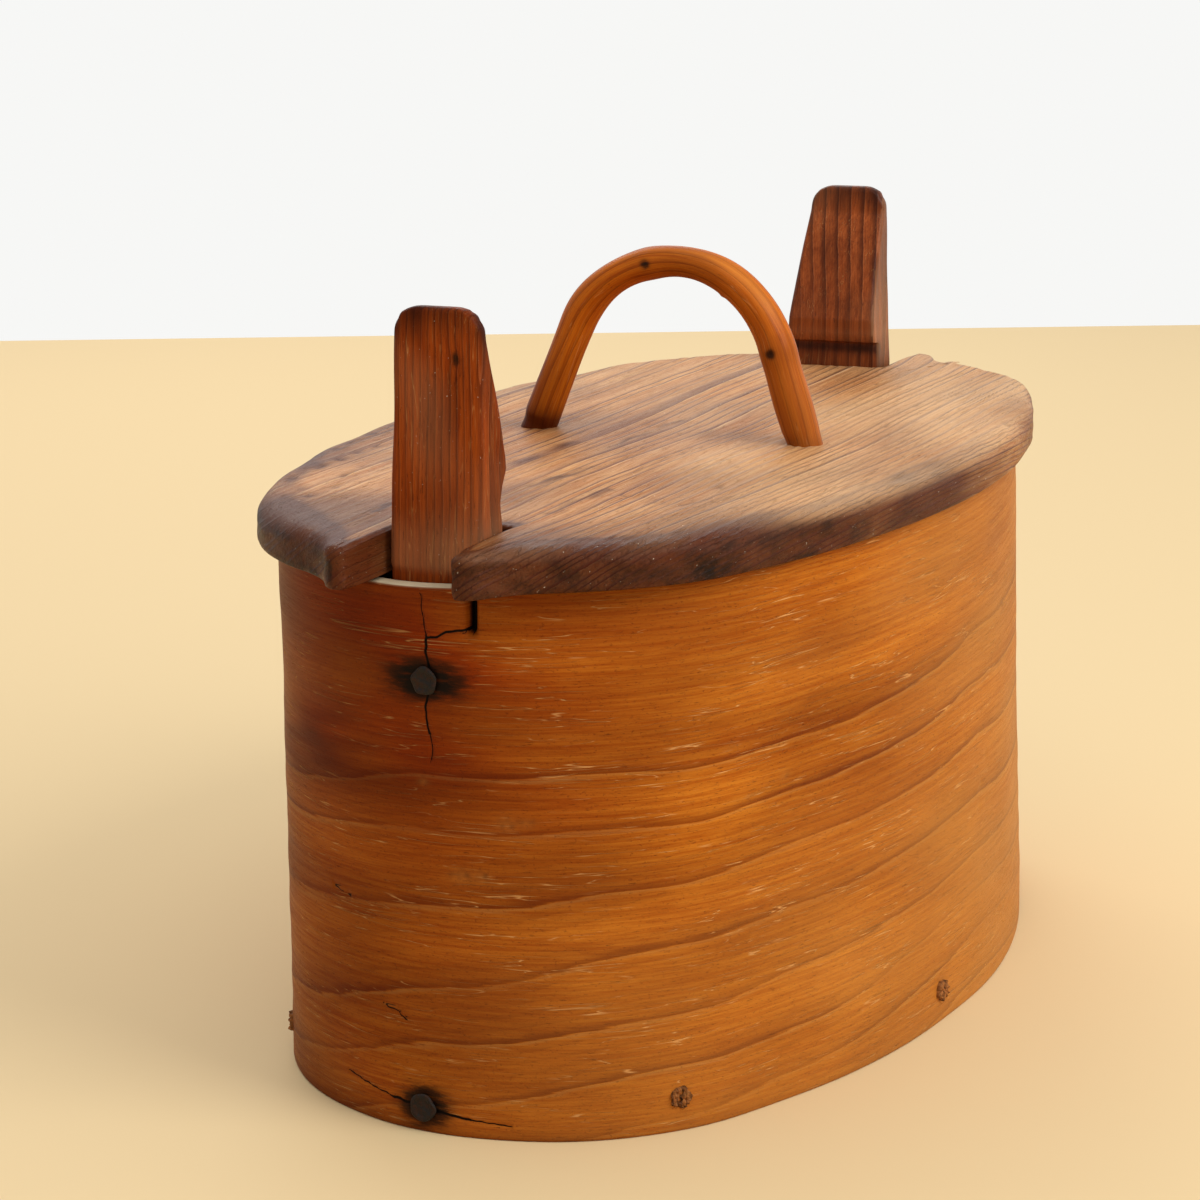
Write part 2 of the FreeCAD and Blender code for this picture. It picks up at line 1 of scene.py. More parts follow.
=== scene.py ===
# %% [markdown]
# # A lidded bentwood box
# The box is an oval band of thin wood, bent round a pegged bottom board. Two springy posts stand inside its
# ends and hold the lid down with their lips, and a peeled stick, bent into an arch, is the handle. The CAD
# model is the frame: each new piece here is a surface worked out with numpy in the CAD model's own metres,
# so nothing needs to be fitted.

import math

import bmesh
import bpy
import numpy as np
from mathutils import Matrix, Vector


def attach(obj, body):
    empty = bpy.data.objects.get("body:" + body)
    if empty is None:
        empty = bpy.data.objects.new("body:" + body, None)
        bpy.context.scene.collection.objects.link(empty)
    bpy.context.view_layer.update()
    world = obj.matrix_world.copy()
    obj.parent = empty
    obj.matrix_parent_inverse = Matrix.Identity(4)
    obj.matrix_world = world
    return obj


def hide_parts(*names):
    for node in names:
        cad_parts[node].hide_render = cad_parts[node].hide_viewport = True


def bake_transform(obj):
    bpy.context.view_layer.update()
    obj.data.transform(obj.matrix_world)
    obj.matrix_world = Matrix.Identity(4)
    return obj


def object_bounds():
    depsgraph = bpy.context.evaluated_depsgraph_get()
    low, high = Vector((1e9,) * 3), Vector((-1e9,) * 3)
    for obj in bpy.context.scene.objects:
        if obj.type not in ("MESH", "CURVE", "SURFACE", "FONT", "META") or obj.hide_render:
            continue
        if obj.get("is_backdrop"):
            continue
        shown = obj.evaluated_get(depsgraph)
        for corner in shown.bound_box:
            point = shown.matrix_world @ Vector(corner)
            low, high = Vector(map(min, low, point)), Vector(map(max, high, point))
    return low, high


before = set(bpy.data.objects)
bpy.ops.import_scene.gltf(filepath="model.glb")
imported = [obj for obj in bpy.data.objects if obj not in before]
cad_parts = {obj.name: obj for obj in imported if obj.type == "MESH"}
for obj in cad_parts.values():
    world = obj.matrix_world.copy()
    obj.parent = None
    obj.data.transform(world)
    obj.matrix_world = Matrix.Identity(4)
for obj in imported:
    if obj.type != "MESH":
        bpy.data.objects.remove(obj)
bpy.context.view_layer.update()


MM = 0.001

# %% [markdown]
# The camera comes first, so that every later choice is seen from the right place. Heading, tilt and roll
# are turns of a camera that first looks straight down: it tips up, turns to its heading and at last rolls
# about its own axis. The long lens stands well back, which keeps the oval calm.

# %% Camera
EYE = Vector((-746.6, -324.1, 279.0)) * MM
HEADING, TILT, ROLL = math.radians(-65.22), math.radians(77.09), math.radians(-0.85)
LENS_MM, SENSOR_MM = 100.74, 36

camera = bpy.data.objects.new("camera", bpy.data.cameras.new("camera"))
bpy.context.scene.collection.objects.link(camera)
camera.data.lens, camera.data.sensor_width = LENS_MM, SENSOR_MM
camera.data.clip_start, camera.data.clip_end = 0.05, 20
turn = Matrix.Rotation(HEADING, 4, "Z") @ Matrix.Rotation(TILT, 4, "X") @ Matrix.Rotation(ROLL, 4, "Z")
camera.matrix_world = Matrix.Translation(EYE) @ turn
bpy.context.scene.camera = camera
bpy.context.scene.view_settings.view_transform = "Standard"
print("the camera stands", round(EYE.length, 3), "m from the middle of the base")

# %% [markdown]
# Materials are small graphs of nodes. Building them by hand takes many repeated lines, so this class keeps
# one tree and gives each common step a short word. A number goes straight onto a socket, and a socket given
# as a value is linked.

# %% Words for building a finish


class Tree:
    """A tree of shader nodes that are added one by one."""

    def __init__(self, tree):
        self.tree = tree
        tree.nodes.clear()

    def fill(self, socket, value):
        """Put a number or colour on a socket, or link another socket into it."""
        if isinstance(value, bpy.types.NodeSocket):
            self.tree.links.new(value, socket)
        else:
            socket.default_value = value

    def add(self, kind, settings=(), **sockets):
        """A node of one kind, with its settings and its sockets filled."""
        node = self.tree.nodes.new(kind)
        for word, choice in dict(settings).items():
            setattr(node, word, choice)
        for word, value in sockets.items():
            self.fill(node.inputs[word.replace("_", " ")], value)
        return node

    def math(self, operation, first, second=0.0, third=0.0):
        """One sum on one, two or three numbers."""
        node = self.add("ShaderNodeMath", {"operation": operation})
        for socket, value in zip(node.inputs, (first, second, third)):
            self.fill(socket, value)
        return node.outputs[0]

    def times(self, first, second):
        """The product of two numbers."""
        return self.math("MULTIPLY", first, second)

    def span(self, value, low, high, start=0.0, stop=1.0):
        """Move a value from one range to another, smoothly and held at both ends."""
        ends = {"From_Min": low, "From_Max": high, "To_Min": start, "To_Max": stop}
        node = self.add("ShaderNodeMapRange", {"interpolation_type": "SMOOTHSTEP"}, Value=value, **ends)
        return node.outputs[0]


class Finish(Tree):
    """A material with its main shader ready."""

    def __init__(self, name, **sockets):
        self.material = bpy.data.materials.new(name)
        self.material.use_nodes = True
        super().__init__(self.material.node_tree)
        self.shader = self.add("ShaderNodeBsdfPrincipled", **sockets)
        self.add("ShaderNodeOutputMaterial", Surface=self.shader.outputs["BSDF"])

    def read(self, word, output="Fac"):
        """A value that the mesh carries at each of its points."""
        return self.add("ShaderNodeAttribute", {"attribute_name": word}).outputs[output]

    def noise(self, place, scale, detail, roughness=0.5, distortion=0.0):
        """Soft random cloud from 0 to 1."""
        return self.add("ShaderNodeTexNoise", Vector=place, Scale=scale, Detail=detail, Roughness=roughness,
                        Distortion=distortion).outputs[0]

    def streaks(self, grain, along, across, detail, roughness=0.5, distortion=0.0, turn=(0, 0, 0)):
        """Random cloud drawn out along the grain; across is the finer of its two scales."""
        place = self.add("ShaderNodeMapping", Vector=grain, Scale=(along, across, across), Rotation=turn)
        return self.noise(place.outputs[0], 1.0, detail, roughness, distortion)

    def mix(self, share, first, second):
        """Two colours mixed by a share."""
        node = self.add("ShaderNodeMix", {"data_type": "RGBA"})
        for number, value in ((0, share), (6, first), (7, second)):
            self.fill(node.inputs[number], value)
        return node.outputs[2]

    def surface(self, tone, gloss, height, relief):
        """Give the shader its colour, its roughness and a bump from a height over a relief in metres."""
        self.fill(self.shader.inputs["Base Color"], tone)
        self.fill(self.shader.inputs["Roughness"], gloss)
        raised = self.add("ShaderNodeBump", Height=height, Distance=relief)
        self.fill(self.shader.inputs["Normal"], raised.outputs[0])


def colour(red, green, blue):
    """A colour as written on a screen, 0 to 255, turned into the light values that shaders use."""
    shares = np.array([red, green, blue]) / 255
    linear = np.where(shares <= 0.04045, shares / 12.92, ((shares + 0.055) / 1.055) ** 2.4)
    return (*[float(value) for value in linear], 1.0)


print("words for finishes:", ", ".join(word for word in [*vars(Tree), *vars(Finish)] if word[0] != "_"))

# %% [markdown]
# The floor is one plain pale sheet and the room behind it is white. A large soft lamp stands to the right
# like a window, weaker ones behind the box and over the near floor give the lid its sheen and keep the
# floor even, and the world fills the shadows. Only the camera sees the world as plain white, so that white
# never adds light to the wood.

# %% Floor, room and lamps
FLOOR_FRONT, FLOOR_BACK, FLOOR_SIDE, FLOOR_TURN = -2, 1.084, 3, math.radians(24.2)
BEHIND_LIGHT, AHEAD_LIGHT, ROOM_WHITE = 0.38, 0.88, 0.93
BRIGHT_WAY, BRIGHT_SPREAD = (0.72, -0.3, 0.62), 0.7
LAMP_SIZE, MIDDLE, SUN_WHITE = 0.8, (0, 0, 0.08), (1, 0.985, 0.95)
LAMPS = (
    ("window_lamp", (-0.2, -1.2, 1.0), MIDDLE, 11.8, SUN_WHITE),
    ("back_lamp", (0.9, 0.7, 0.95), MIDDLE, 4.8, (1, 0.99, 0.97)),
    ("near_lamp", (-1.0, -0.35, 1.3), (-0.55, -0.25, 0), 3.0, SUN_WHITE),
)


def floor_sheet():
    """A flat sheet that ends in a straight back edge square to the camera's heading."""
    ahead = np.array([math.cos(FLOOR_TURN), math.sin(FLOOR_TURN), 0])
    aside = np.array([-ahead[1], ahead[0], 0])
    corners = [ahead * along + aside * across for along, across in
               ((FLOOR_FRONT, -FLOOR_SIDE), (FLOOR_BACK, -FLOOR_SIDE), (FLOOR_BACK, FLOOR_SIDE),
                (FLOOR_FRONT, FLOOR_SIDE))]
    mesh = bpy.data.meshes.new("floor")
    mesh.from_pydata([tuple(corner) for corner in corners], [], [(0, 1, 2, 3)])
    sheet = bpy.data.objects.new("floor", mesh)
    bpy.context.scene.collection.objects.link(sheet)
    finish = Finish("floor_sheet", Base_Color=colour(226, 200, 154), Roughness=0.75, Specular_IOR_Level=0.2)
    mesh.materials.append(finish.material)
    sheet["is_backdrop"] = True


def room():
    """A world that lights softly from the bright way; the camera, also through glass, sees it plain white."""
    world = bpy.data.worlds.new("room")
    bpy.context.scene.world = world
    world.use_nodes = True
    nodes = Tree(world.node_tree)
    rays = nodes.add("ShaderNodeLightPath").outputs
    seen = nodes.add("ShaderNodeMath", {"operation": "ADD", "use_clamp": True})
    nodes.fill(seen.inputs[0], rays["Is Camera Ray"])
    nodes.fill(seen.inputs[1], rays["Is Transmission Ray"])
    facing = nodes.add("ShaderNodeVectorMath", {"operation": "DOT_PRODUCT"})
    nodes.fill(facing.inputs[0], nodes.add("ShaderNodeTexCoord").outputs["Generated"])
    nodes.fill(facing.inputs[1], BRIGHT_WAY)
    glow = nodes.span(facing.outputs["Value"], -BRIGHT_SPREAD, BRIGHT_SPREAD, BEHIND_LIGHT, AHEAD_LIGHT)
    strength = nodes.add("ShaderNodeMapRange", Value=seen.outputs[0], To_Min=glow, To_Max=ROOM_WHITE)
    light = nodes.add("ShaderNodeBackground", Color=(1, 1, 0.985, 1), Strength=strength.outputs[0])
    nodes.add("ShaderNodeOutputWorld", Surface=light.outputs[0])


def lamp(name, place, target, watts, tint):
    """A square soft lamp that points at a target."""
    light = bpy.data.lights.new(name, "AREA")
    light.shape, light.size, light.energy, light.color = "SQUARE", LAMP_SIZE, watts, tint
    holder = bpy.data.objects.new(name, light)
    bpy.context.scene.collection.objects.link(holder)
    holder.location = place
    holder.rotation_euler = (Vector(target) - Vector(place)).to_track_quat("-Z", "Y").to_euler()


floor_sheet()
room()
for lamp_facts in LAMPS:
    lamp(*lamp_facts)
print(len(LAMPS), "lamps and a pale floor")

# %% [markdown]
# Every new piece below is a grid of points: rows run one way over the surface and columns the other, and
# each piece is a formula that places them all at once. One function turns such a grid into a mesh. Lengths
# are written in millimetres, as a woodworker would, and become metres only here.

# %% From a grid of points to a mesh
SAME_PLACE, NO_LENGTH = 2e-6, 1e-7


def grid_faces(rows, columns, loop_rows=False, loop_columns=False):
    """Four corner numbers for each cell of a grid; a looped direction also joins its end to its start."""
    numbers = np.arange(rows * columns).reshape(rows, columns)
    if loop_rows:
        numbers = np.vstack([numbers, numbers[:1]])
    if loop_columns:
        numbers = np.hstack([numbers, numbers[:, :1]])
    cells = [numbers[:-1, :-1], numbers[:-1, 1:], numbers[1:, 1:], numbers[1:, :-1]]
    return np.stack(cells, axis=-1).reshape(-1, 4)


def carve(name, points, fields, finish, loop_rows=False, loop_columns=False, caps=()):
    """A closed mesh from a grid of points in millimetres, carrying its fields, with its doubles merged.

    A cap is one flat face with many corners, so it and its edge stay sharp."""
    rows, columns = points.shape[:2]
    faces = grid_faces(rows, columns, loop_rows, loop_columns).tolist() + [list(cap) for cap in caps]
    mesh = bpy.data.meshes.new(name)
    mesh.from_pydata((points.reshape(-1, 3) * MM).tolist(), [], faces)
    for word, values in fields.items():
        kind, size = ("FLOAT_VECTOR", 3) if np.ndim(values) == 3 else ("FLOAT", 1)
        layer = mesh.attributes.new(word, kind, "POINT")
        spread = np.broadcast_to(values, (rows, columns, size)[:np.ndim(values)])
        layer.data.foreach_set("vector" if size == 3 else "value", spread.astype(np.float32).ravel())
    work = bmesh.new()
    work.from_mesh(mesh)
    bmesh.ops.remove_doubles(work, verts=work.verts, dist=SAME_PLACE)
    bmesh.ops.dissolve_degenerate(work, edges=work.edges, dist=NO_LENGTH)
    bmesh.ops.recalc_face_normals(work, faces=work.faces)
    for face in work.faces:
        face.smooth = len(face.verts) < 5
        if not face.smooth:
            for edge in face.edges:
                edge.smooth = False
    odd = sum(1 for edge in work.edges if len(edge.link_faces) != 2)
    work.to_mesh(mesh)
    work.free()
    mesh.materials.append(finish.material)
    piece = bpy.data.objects.new(name, mesh)
    bpy.context.scene.collection.objects.link(piece)
    print(name, len(mesh.polygons), "faces, edges without two faces:", odd)
    return piece


def waves(seed, size, *ways, count=10):
    """Smooth unevenness of about -1 to 1: added sine waves in random directions, each about one size long."""
    chance = np.random.default_rng(seed)
    total = 0.0
    for _ in range(count):
        heading = chance.normal(size=len(ways))
        heading *= chance.uniform(0.6, 1.4) / (size * np.linalg.norm(heading))
        total = total + np.sin(2 * np.pi * sum(part * way for part, way in zip(heading, ways))
                               + chance.uniform(0, 2 * np.pi))
    return total / math.sqrt(count)


def bump(distance, width):
    """A soft hill: 1 at no distance, falling as a bell whose half width is the width."""
    return np.exp(-(distance / width) ** 2)


def ease(value, low, high):
    """A smooth step from 0 at low to 1 at high."""
    share = np.clip((value - low) / (high - low), 0, 1)
    return share * share * (3 - 2 * share)


def round_turns(count):
    """Turns evenly round a circle, as one row."""
    return np.linspace(0, 2 * np.pi, count, endpoint=False)[None, :]


def bell(count):
    """Shares that add up to one, rising to the middle and falling again, to smooth a line with."""
    return np.hanning(count) / np.hanning(count).sum()


def runs(line):
    """How far along a line each of its points lies."""
    return np.concatenate([[0], np.cumsum(np.hypot(*np.diff(line, axis=0).T))])


def points_at(stops, numbers, line):
    """The points of a line of straight pieces at some stops; numbers say where its own points lie."""
    return np.stack([np.interp(stops, numbers, part) for part in line.T], axis=1)


def from_line(across, up, corners):
    """How far each point lies from a line of straight pieces: plus on its left side, minus on its right."""
    nearest = np.full(np.broadcast(across, up).shape, np.inf)
    for (x0, y0), (x1, y1) in zip(corners, corners[1:]):
        square = np.hypot(x1 - x0, y1 - y0) ** 2
        share = np.clip(((across - x0) * (x1 - x0) + (up - y0) * (y1 - y0)) / square, 0, 1)
        gap = np.hypot(across - x0 - share * (x1 - x0), up - y0 - share * (y1 - y0))
        left = (x1 - x0) * (up - y0) >= (y1 - y0) * (across - x0)
        nearest = np.where(gap < np.abs(nearest), np.where(left, gap, -gap), nearest)
    return nearest


print("a looped grid of 3 by 4 points has", len(grid_faces(3, 4, loop_columns=True)), "faces")

# %% [markdown]
# Old varnished softwood is one recipe with different measures: fibres drawn out along the grain, growth
# rings whose dark side is sharp and whose other side fades, a painted highlight beside each ring line,
# pores, fine scratches, stains and a coat of varnish. Each piece carries its own grain coordinates, in
# millimetres, and its own count of rings, so the grain follows a bent board round its bend instead of
# cutting through it as a solid pattern would. Where hands have warmed the varnish it is red. The recipe
# paints one step over the other, and the mesh says where each kind of wear lies and where shade and light
# are painted.

# %% The wood recipe
RED_DEEP, RED_PALE = colour(136, 42, 4), colour(172, 66, 8)
SCRATCH_PALE, DUST_PALE, BARE_WOOD = colour(222, 160, 96), colour(244, 232, 208), colour(214, 200, 168)
PORE_DARK, SHADE_AND_DIRT_DARK, CRACK_DARK = (0.01, 0.004, 0.002, 1), (0.014, 0.004, 0.002, 1), (0.006, 0.003, 0.002, 1)
STAIN_BROWN, STAIN_BLACK = (0.024, 0.008, 0.003, 1), (0.006, 0.005, 0.004, 1)


class Wood(Finish):
    """Wood from pale to deep, with ring lines of a third colour; the mesh gives rings, grain, wear, shade and
    light.
    """

    def __init__(self, name, pale, deep, line, ring_dark, ring_width, fibre, scratches, dull, coat,
                 relief=0.00012, pores=0.45, shine=0.1, halo_dark=0.35, dust=0.0, pits=0.0, crest=0.5,
                 bleached=(232, 196, 150)):
        super().__init__(name, Coat_Weight=coat, Coat_Roughness=0.26, Specular_IOR_Level=shine)
        self.pale, self.deep, self.line = colour(*pale), colour(*deep), colour(*line)
        self.bleached = colour(*bleached)
        self.grain = self.read("grain", "Vector")
        self.cloud = self.streaks(self.grain, 0.012, 0.05, 3, 0.55)
        fibres, body = self.draw_fibres(fibre)
        ring = self.draw_rings(ring_dark, ring_width, halo_dark, crest)
        pore = self.draw_pores(pores, pits)
        scratch = self.draw_scratches(scratches)
        self.draw_wear(fibres, dust)
        rough = self.math("ADD", scratch, pore)
        gloss = self.math("MULTIPLY_ADD", rough, 0.3, self.math("MULTIPLY_ADD", body, -0.08, dull + 0.06))
        height = self.math("MULTIPLY_ADD", ring, 0.8, self.times(fibres, 0.9))
        self.surface(self.tone, gloss, self.math("MULTIPLY_ADD", rough, -0.9, height), relief)
        print(name, "is drawn with", len(self.tree.nodes), "nodes")

    def paint(self, share, tint):
        """Cover the tone so far with a tint, by a share."""
        self.tone = self.mix(share, self.tone, tint)

    def draw_fibres(self, contrast):
        """Long and short fibres, redder where the varnish is warm, under slow darker clouds."""
        long_fibres = self.streaks(self.grain, 0.022, 0.9, 5, 0.62, 0.15)
        short_fibres = self.streaks(self.grain, 0.11, 2.6, 3, 0.6)
        fibres = self.math("MULTIPLY_ADD", short_fibres, 0.4, self.times(long_fibres, 0.6))
        body = self.span(fibres, 0.5 - 0.22 / contrast, 0.5 + 0.22 / contrast)
        self.tone = self.mix(body, self.deep, self.pale)
        self.paint(self.read("warm"), self.mix(body, RED_DEEP, RED_PALE))
        self.paint(self.span(self.cloud, 0.35, 0.7, 0.0, 0.45), self.mix(0.5, self.deep, self.line))
        return fibres, body

    def draw_rings(self, dark, width, halo_dark, crest):
        """A ring line at each whole count: sharp before, fading after, with a painted highlight and finer
        lines.
        """
        wobble = self.math("SUBTRACT", self.streaks(self.grain, 0.03, 0.4, 3, 0.6), 0.5)
        count = self.math("MULTIPLY_ADD", wobble, 0.22, self.read("rings"))
        share = self.math("FRACT", count)
        fading = self.span(share, 0.0, width, 1.0, 0.0)
        halo = self.span(share, 0.0, 0.5, halo_dark, 0.0)
        sharp = self.span(share, 0.975, 0.998)
        ring = self.math("MAXIMUM", self.math("MAXIMUM", fading, halo), sharp)
        uneven = self.span(self.streaks(self.grain, 0.008, 0.06, 2), 0.32, 0.62, 0.35, 1.0)
        clear = self.math("SUBTRACT", dark, self.read("faint"))
        ring = self.times(self.times(ring, uneven), self.math("MAXIMUM", clear, 0.0))
        self.paint(ring, self.line)
        # A painted highlight: a pale strip just before each sharp ring line, where a ridge would catch the
        # light.
        ledge_highlight = self.times(self.span(share, 0.89, 0.955, 0.0, crest), self.span(share, 0.96, 0.985, 0.5, 0.0))
        self.paint(self.times(ledge_highlight, uneven), self.bleached)
        fine = self.span(self.math("FRACT", self.times(count, 5.0)), 0.0, 0.5, 0.3 * dark, 0.0)
        self.paint(self.times(fine, self.span(self.cloud, 0.35, 0.6)), self.line)
        return ring

    def draw_pores(self, pores, pits):
        """Short dark pores along the grain and, where asked for, rougher pits."""
        pore = self.span(self.streaks(self.grain, 0.3, 2.6, 3, 0.75), 0.6, 0.72, 0.0, pores)
        self.paint(pore, self.mix(0.6, self.line, PORE_DARK))
        if pits:
            pit = self.span(self.streaks(self.grain, 0.9, 1.7, 3, 0.75), 0.57, 0.7, 0.0, pits)
            self.paint(pit, self.line)
            pore = self.math("MAXIMUM", pore, pit)
        return pore

    def draw_scratches(self, scratches):
        """Fine pale scratches, a little askew to the grain and in patches."""
        drawn = self.math("SUBTRACT", self.streaks(self.grain, 0.03, 0.7, 2, 0.5, 0.5, (0, 0, 0.05)), 0.5)
        thin = self.span(self.math("ABSOLUTE", drawn), 0.0, 0.016, 1.0, 0.0)
        patch = self.span(self.streaks(self.grain, 0.03, 0.14, 3, 0.75), 0.47, 0.58)
        scratch = self.times(self.times(thin, patch), scratches)
        self.paint(scratch, SCRATCH_PALE)
        return scratch

    def draw_wear(self, fibres, dust):
        """Painted shade and dirt, painted light and pale worn wood, dust, bare wood, stains and cracks."""
        # The shade field paints shade and dirt dark; the glow field paints light and pale worn wood.
        self.paint(self.times(self.read("shade"), 0.92), self.mix(0.45, self.line, SHADE_AND_DIRT_DARK))
        self.paint(self.times(self.read("glow"), 0.6), self.mix(0.5, self.pale, self.bleached))
        if dust:
            self.paint(self.span(self.streaks(self.grain, 1.1, 1.3, 2, 0.8), 0.7, 0.76, 0.0, dust), DUST_PALE)
        self.paint(self.times(self.read("bare"), self.span(fibres, 0.3, 0.6, 0.6, 1.0)), BARE_WOOD)
        blot = self.span(self.streaks(self.grain, 0.16, 0.7, 4, 0.65), 0.25, 0.65, 0.45, 1.25)
        stain = self.times(self.read("stain"), blot)
        self.paint(self.span(stain, 0.0, 0.6, 0.0, 0.9), STAIN_BROWN)
        self.paint(self.span(stain, 0.45, 1.0, 0.0, 0.9), STAIN_BLACK)
        gap = self.span(self.math("ABSOLUTE", self.read("split")), 0.7, 1.4, 1.0, 0.0)
        self.paint(self.times(gap, self.span(self.read("crack"), 0.15, 0.45)), CRACK_DARK)


print("the wood recipe paints", ", ".join(word[5:] for word in vars(Wood) if word.startswith("draw_")))

# %% [markdown]
# The band is a thin board, steamed and bent into an oval, so its shape is an oval pushed up a slight slope.
# The oval is four arcs that touch: two ends and two long sides, and the rim's oval is a little narrower
# than the base's. Going round, a place is named by how far it lies from the middle of the near end:
# forwards over the front is plus.

# %% The oval
HEIGHT, WALL = 124.0, 5.0
BASE_OVAL, RIM_OVAL = (132.5, 80.0, 64.0), (133.0, 75.0, 62.0)


def arcs(oval):
    """The side radius, the end arc's centre and the turn at which the arcs of an oval touch."""
    half_length, half_width, end = oval
    centre = half_length - end
    side = (centre ** 2 + half_width ** 2 - end ** 2) / (2 * (half_width - end))
    return side, centre, math.atan2(side - half_width, centre)


MIDDLE_OVAL = tuple((low + high) / 2 for low, high in zip(BASE_OVAL, RIM_OVAL))
SIDE, _, TURN = arcs(MIDDLE_OVAL)
END_RUN, SIDE_RUN = MIDDLE_OVAL[2] * TURN, SIDE * (math.pi - 2 * TURN)
HALF_ROUND = 2 * END_RUN + SIDE_RUN
QUARTER = HALF_ROUND / 2


def on_oval(oval, place):
    """Points of an oval and the ways out of it, at places named by their run from the middle of the near end.

    Within its arc a place keeps its share of the arc, so one fibre joins the same place on two ovals."""
    side, centre, turn = arcs(oval)
    end = oval[2]
    wrapped = (place + HALF_ROUND) % (2 * HALF_ROUND) - HALF_ROUND
    run, front = np.abs(wrapped), np.where(wrapped < 0, -1.0, 1.0)
    from_near = np.minimum(run, 2 * HALF_ROUND - run)
    on_end = np.minimum(from_near, HALF_ROUND - from_near)
    near = np.where(from_near <= QUARTER, -1.0, 1.0)
    end_turn = on_end / END_RUN * turn
    side_turn = turn + (on_end - END_RUN) / SIDE_RUN * (math.pi - 2 * turn)
    at_end = on_end <= END_RUN
    angle = np.where(at_end, end_turn, side_turn)
    out_x, out_y = near * np.cos(angle), -front * np.sin(angle)
    x = np.where(at_end, near * (centre + end * np.cos(angle)), near * side * np.cos(angle))
    y = np.where(at_end, -front * end * np.sin(angle), -front * (side * np.sin(angle) - side + oval[1]))
    return x, y, out_x, out_y


def on_band(place, level, out=0.0):
    """Points in space at places round the band and levels above the base, moved out from its face."""
    base_x, base_y, out_x, out_y = on_oval(BASE_OVAL, place)
    rim_x, rim_y, _, _ = on_oval(RIM_OVAL, place)
    share = level / HEIGHT
    x = base_x + (rim_x - base_x) * share + out * out_x
    y = base_y + (rim_y - base_y) * share + out * out_y
    return np.stack(np.broadcast_arrays(x, y, level), axis=-1)


print("once round the band is", round(2 * HALF_ROUND), "mm")

# %% [markdown]
# Flat-sawn boards show their growth rings as long flowing lines. Here each line is named by its level at a
# few places round the band, and a smooth curve joins them. Between two lines the ring count rises by one,
# so the wood recipe can draw every line from one number per point. The near end was split long ago, so it
# also has cracks: each is a line on the band, sunk into the mesh and darkened.

# %% Rings, cracks and stains of the band
RING_PLACES = (-260, -170, -50, 0, 50, 100, 150, 190, 230, 330, 430, 520)
RING_LEVELS = (
    (-18, -16, -14, -6, 3, 7, 14, 17, 13, 5, 2, 0),
    (-8, -6, -3, 7, 15, 17, 25, 26, 24, 18, 12, 10),
    (2, 5, 10, 21, 27, 31, 34, 36, 34, 30, 26, 24),
    (14, 17, 23, 34, 43, 45, 48, 49, 48, 45, 42, 40),
    (32, 38, 48, 53, 57, 60, 62, 64, 63, 60, 57, 55),
    (52, 57, 66, 70, 71, 72, 75, 77, 77, 76, 74, 72),
    (66, 69, 74, 82, 83, 83, 87, 90, 91, 92, 90, 88),
)


def smooth_line(place, stops, values):
    """A curve through the values at the stops; its slope at a stop is that between the two neighbours."""
    stops, values = np.asarray(stops, float), np.asarray(values, float)
    slopes = np.gradient(values, stops)
    index = np.clip(np.searchsorted(stops, place) - 1, 0, len(stops) - 2)
    run = stops[index + 1] - stops[index]
    share = np.clip((place - stops[index]) / run, 0, 1)
    first, last = 1 - ease(share, 0, 1), ease(share, 0, 1)
    lean_in = share * (1 - share) ** 2 * run * slopes[index]
    lean_out = share ** 2 * (share - 1) * run * slopes[index + 1]
    return first * values[index] + last * values[index + 1] + lean_in + lean_out


def ring_count(place, level):
    """How many rings lie below each point of the band, with parts of a ring between two lines."""
    lines = [smooth_line(place, RING_PLACES, levels) + 0.5 * waves(50, 60, place) for levels in RING_LEVELS]
    count = (level - lines[0]) / 12.0
    for number, (low, high) in enumerate(zip(lines, lines[1:])):
        count = np.where(level >= low, number + (level - low) / (high - low), count)
    above = np.maximum(level - lines[-1], 0)
    calm = 0.6 * (1 - np.exp(-above / 8)) + 0.3 * above / 60
    return np.where(above > 0, len(lines) - 1 + calm, count)


# A crack is a line of places and levels with its half width; a scar is a place, a level and a size.
SLOT = [(10.1, 126), (10.1, 114.6)]
CRACKS = [
    ([(-1.4, 122), (-1.0, 117), (-0.2, 112)], 0.13), ([(-0.2, 112), (-0.5, 109.5), (0.1, 106)], 0.3),
    ([(-0.4, 100), (-1.0, 96.6), (-0.7, 94), (-0.1, 91.2)], 0.24),
    ([(-0.1, 91.2), (0.5, 88.4), (0.2, 85.5)], 0.12),
    ([(10.2, 114.9), (7.6, 114.5), (4.4, 114.0), (2.2, 112.7), (-0.2, 112.4)], 0.26),
    ([(-27, 9.3), (-19, 7.7), (-12.5, 6.6)], 0.16), ([(-12.5, 6.6), (-6.0, 5.8)], 0.32),
    ([(-1.5, 5.2), (7, 4.2)], 0.3), ([(7, 4.2), (17, 3.4)], 0.15),
    ([(-14.5, 28.0), (-10.5, 27.0), (-8.2, 25.4)], 0.16), ([(-30, 52), (-24, 50.8)], 0.12),
]
SCARS = [(6.5, 60.2, 1.6), (11.5, 60.4, 1.1), (17, 72.4, 1.4), (21.5, 72.6, 0.9), (-2, 80.5, 0.8),
         (86, 75.6, 0.9), (178, 51, 0.8), (183, 57, 0.7), (176, 46, 0.7)]

# Round each nail lies a stain, squeezed along and up, with the strengths and sizes of its soft rings.
HIGH_LEVEL, LOW_LEVEL = 103.0, 5.8
NAILS = ((-0.7, HIGH_LEVEL), (-4.0, LOW_LEVEL), (HALF_ROUND + 3.1, HIGH_LEVEL), (HALF_ROUND + 6.4, LOW_LEVEL))
STAIN_SHAPES = ((0.8, 1.6), (0.85, 1.15), (1, 1.3), (1, 1))
STAIN_RINGS = (((1.0, 5.6), (0.4, 10)), ((1.0, 4.4), (0.3, 7)), ((0.8, 6),), ((0.8, 5),))


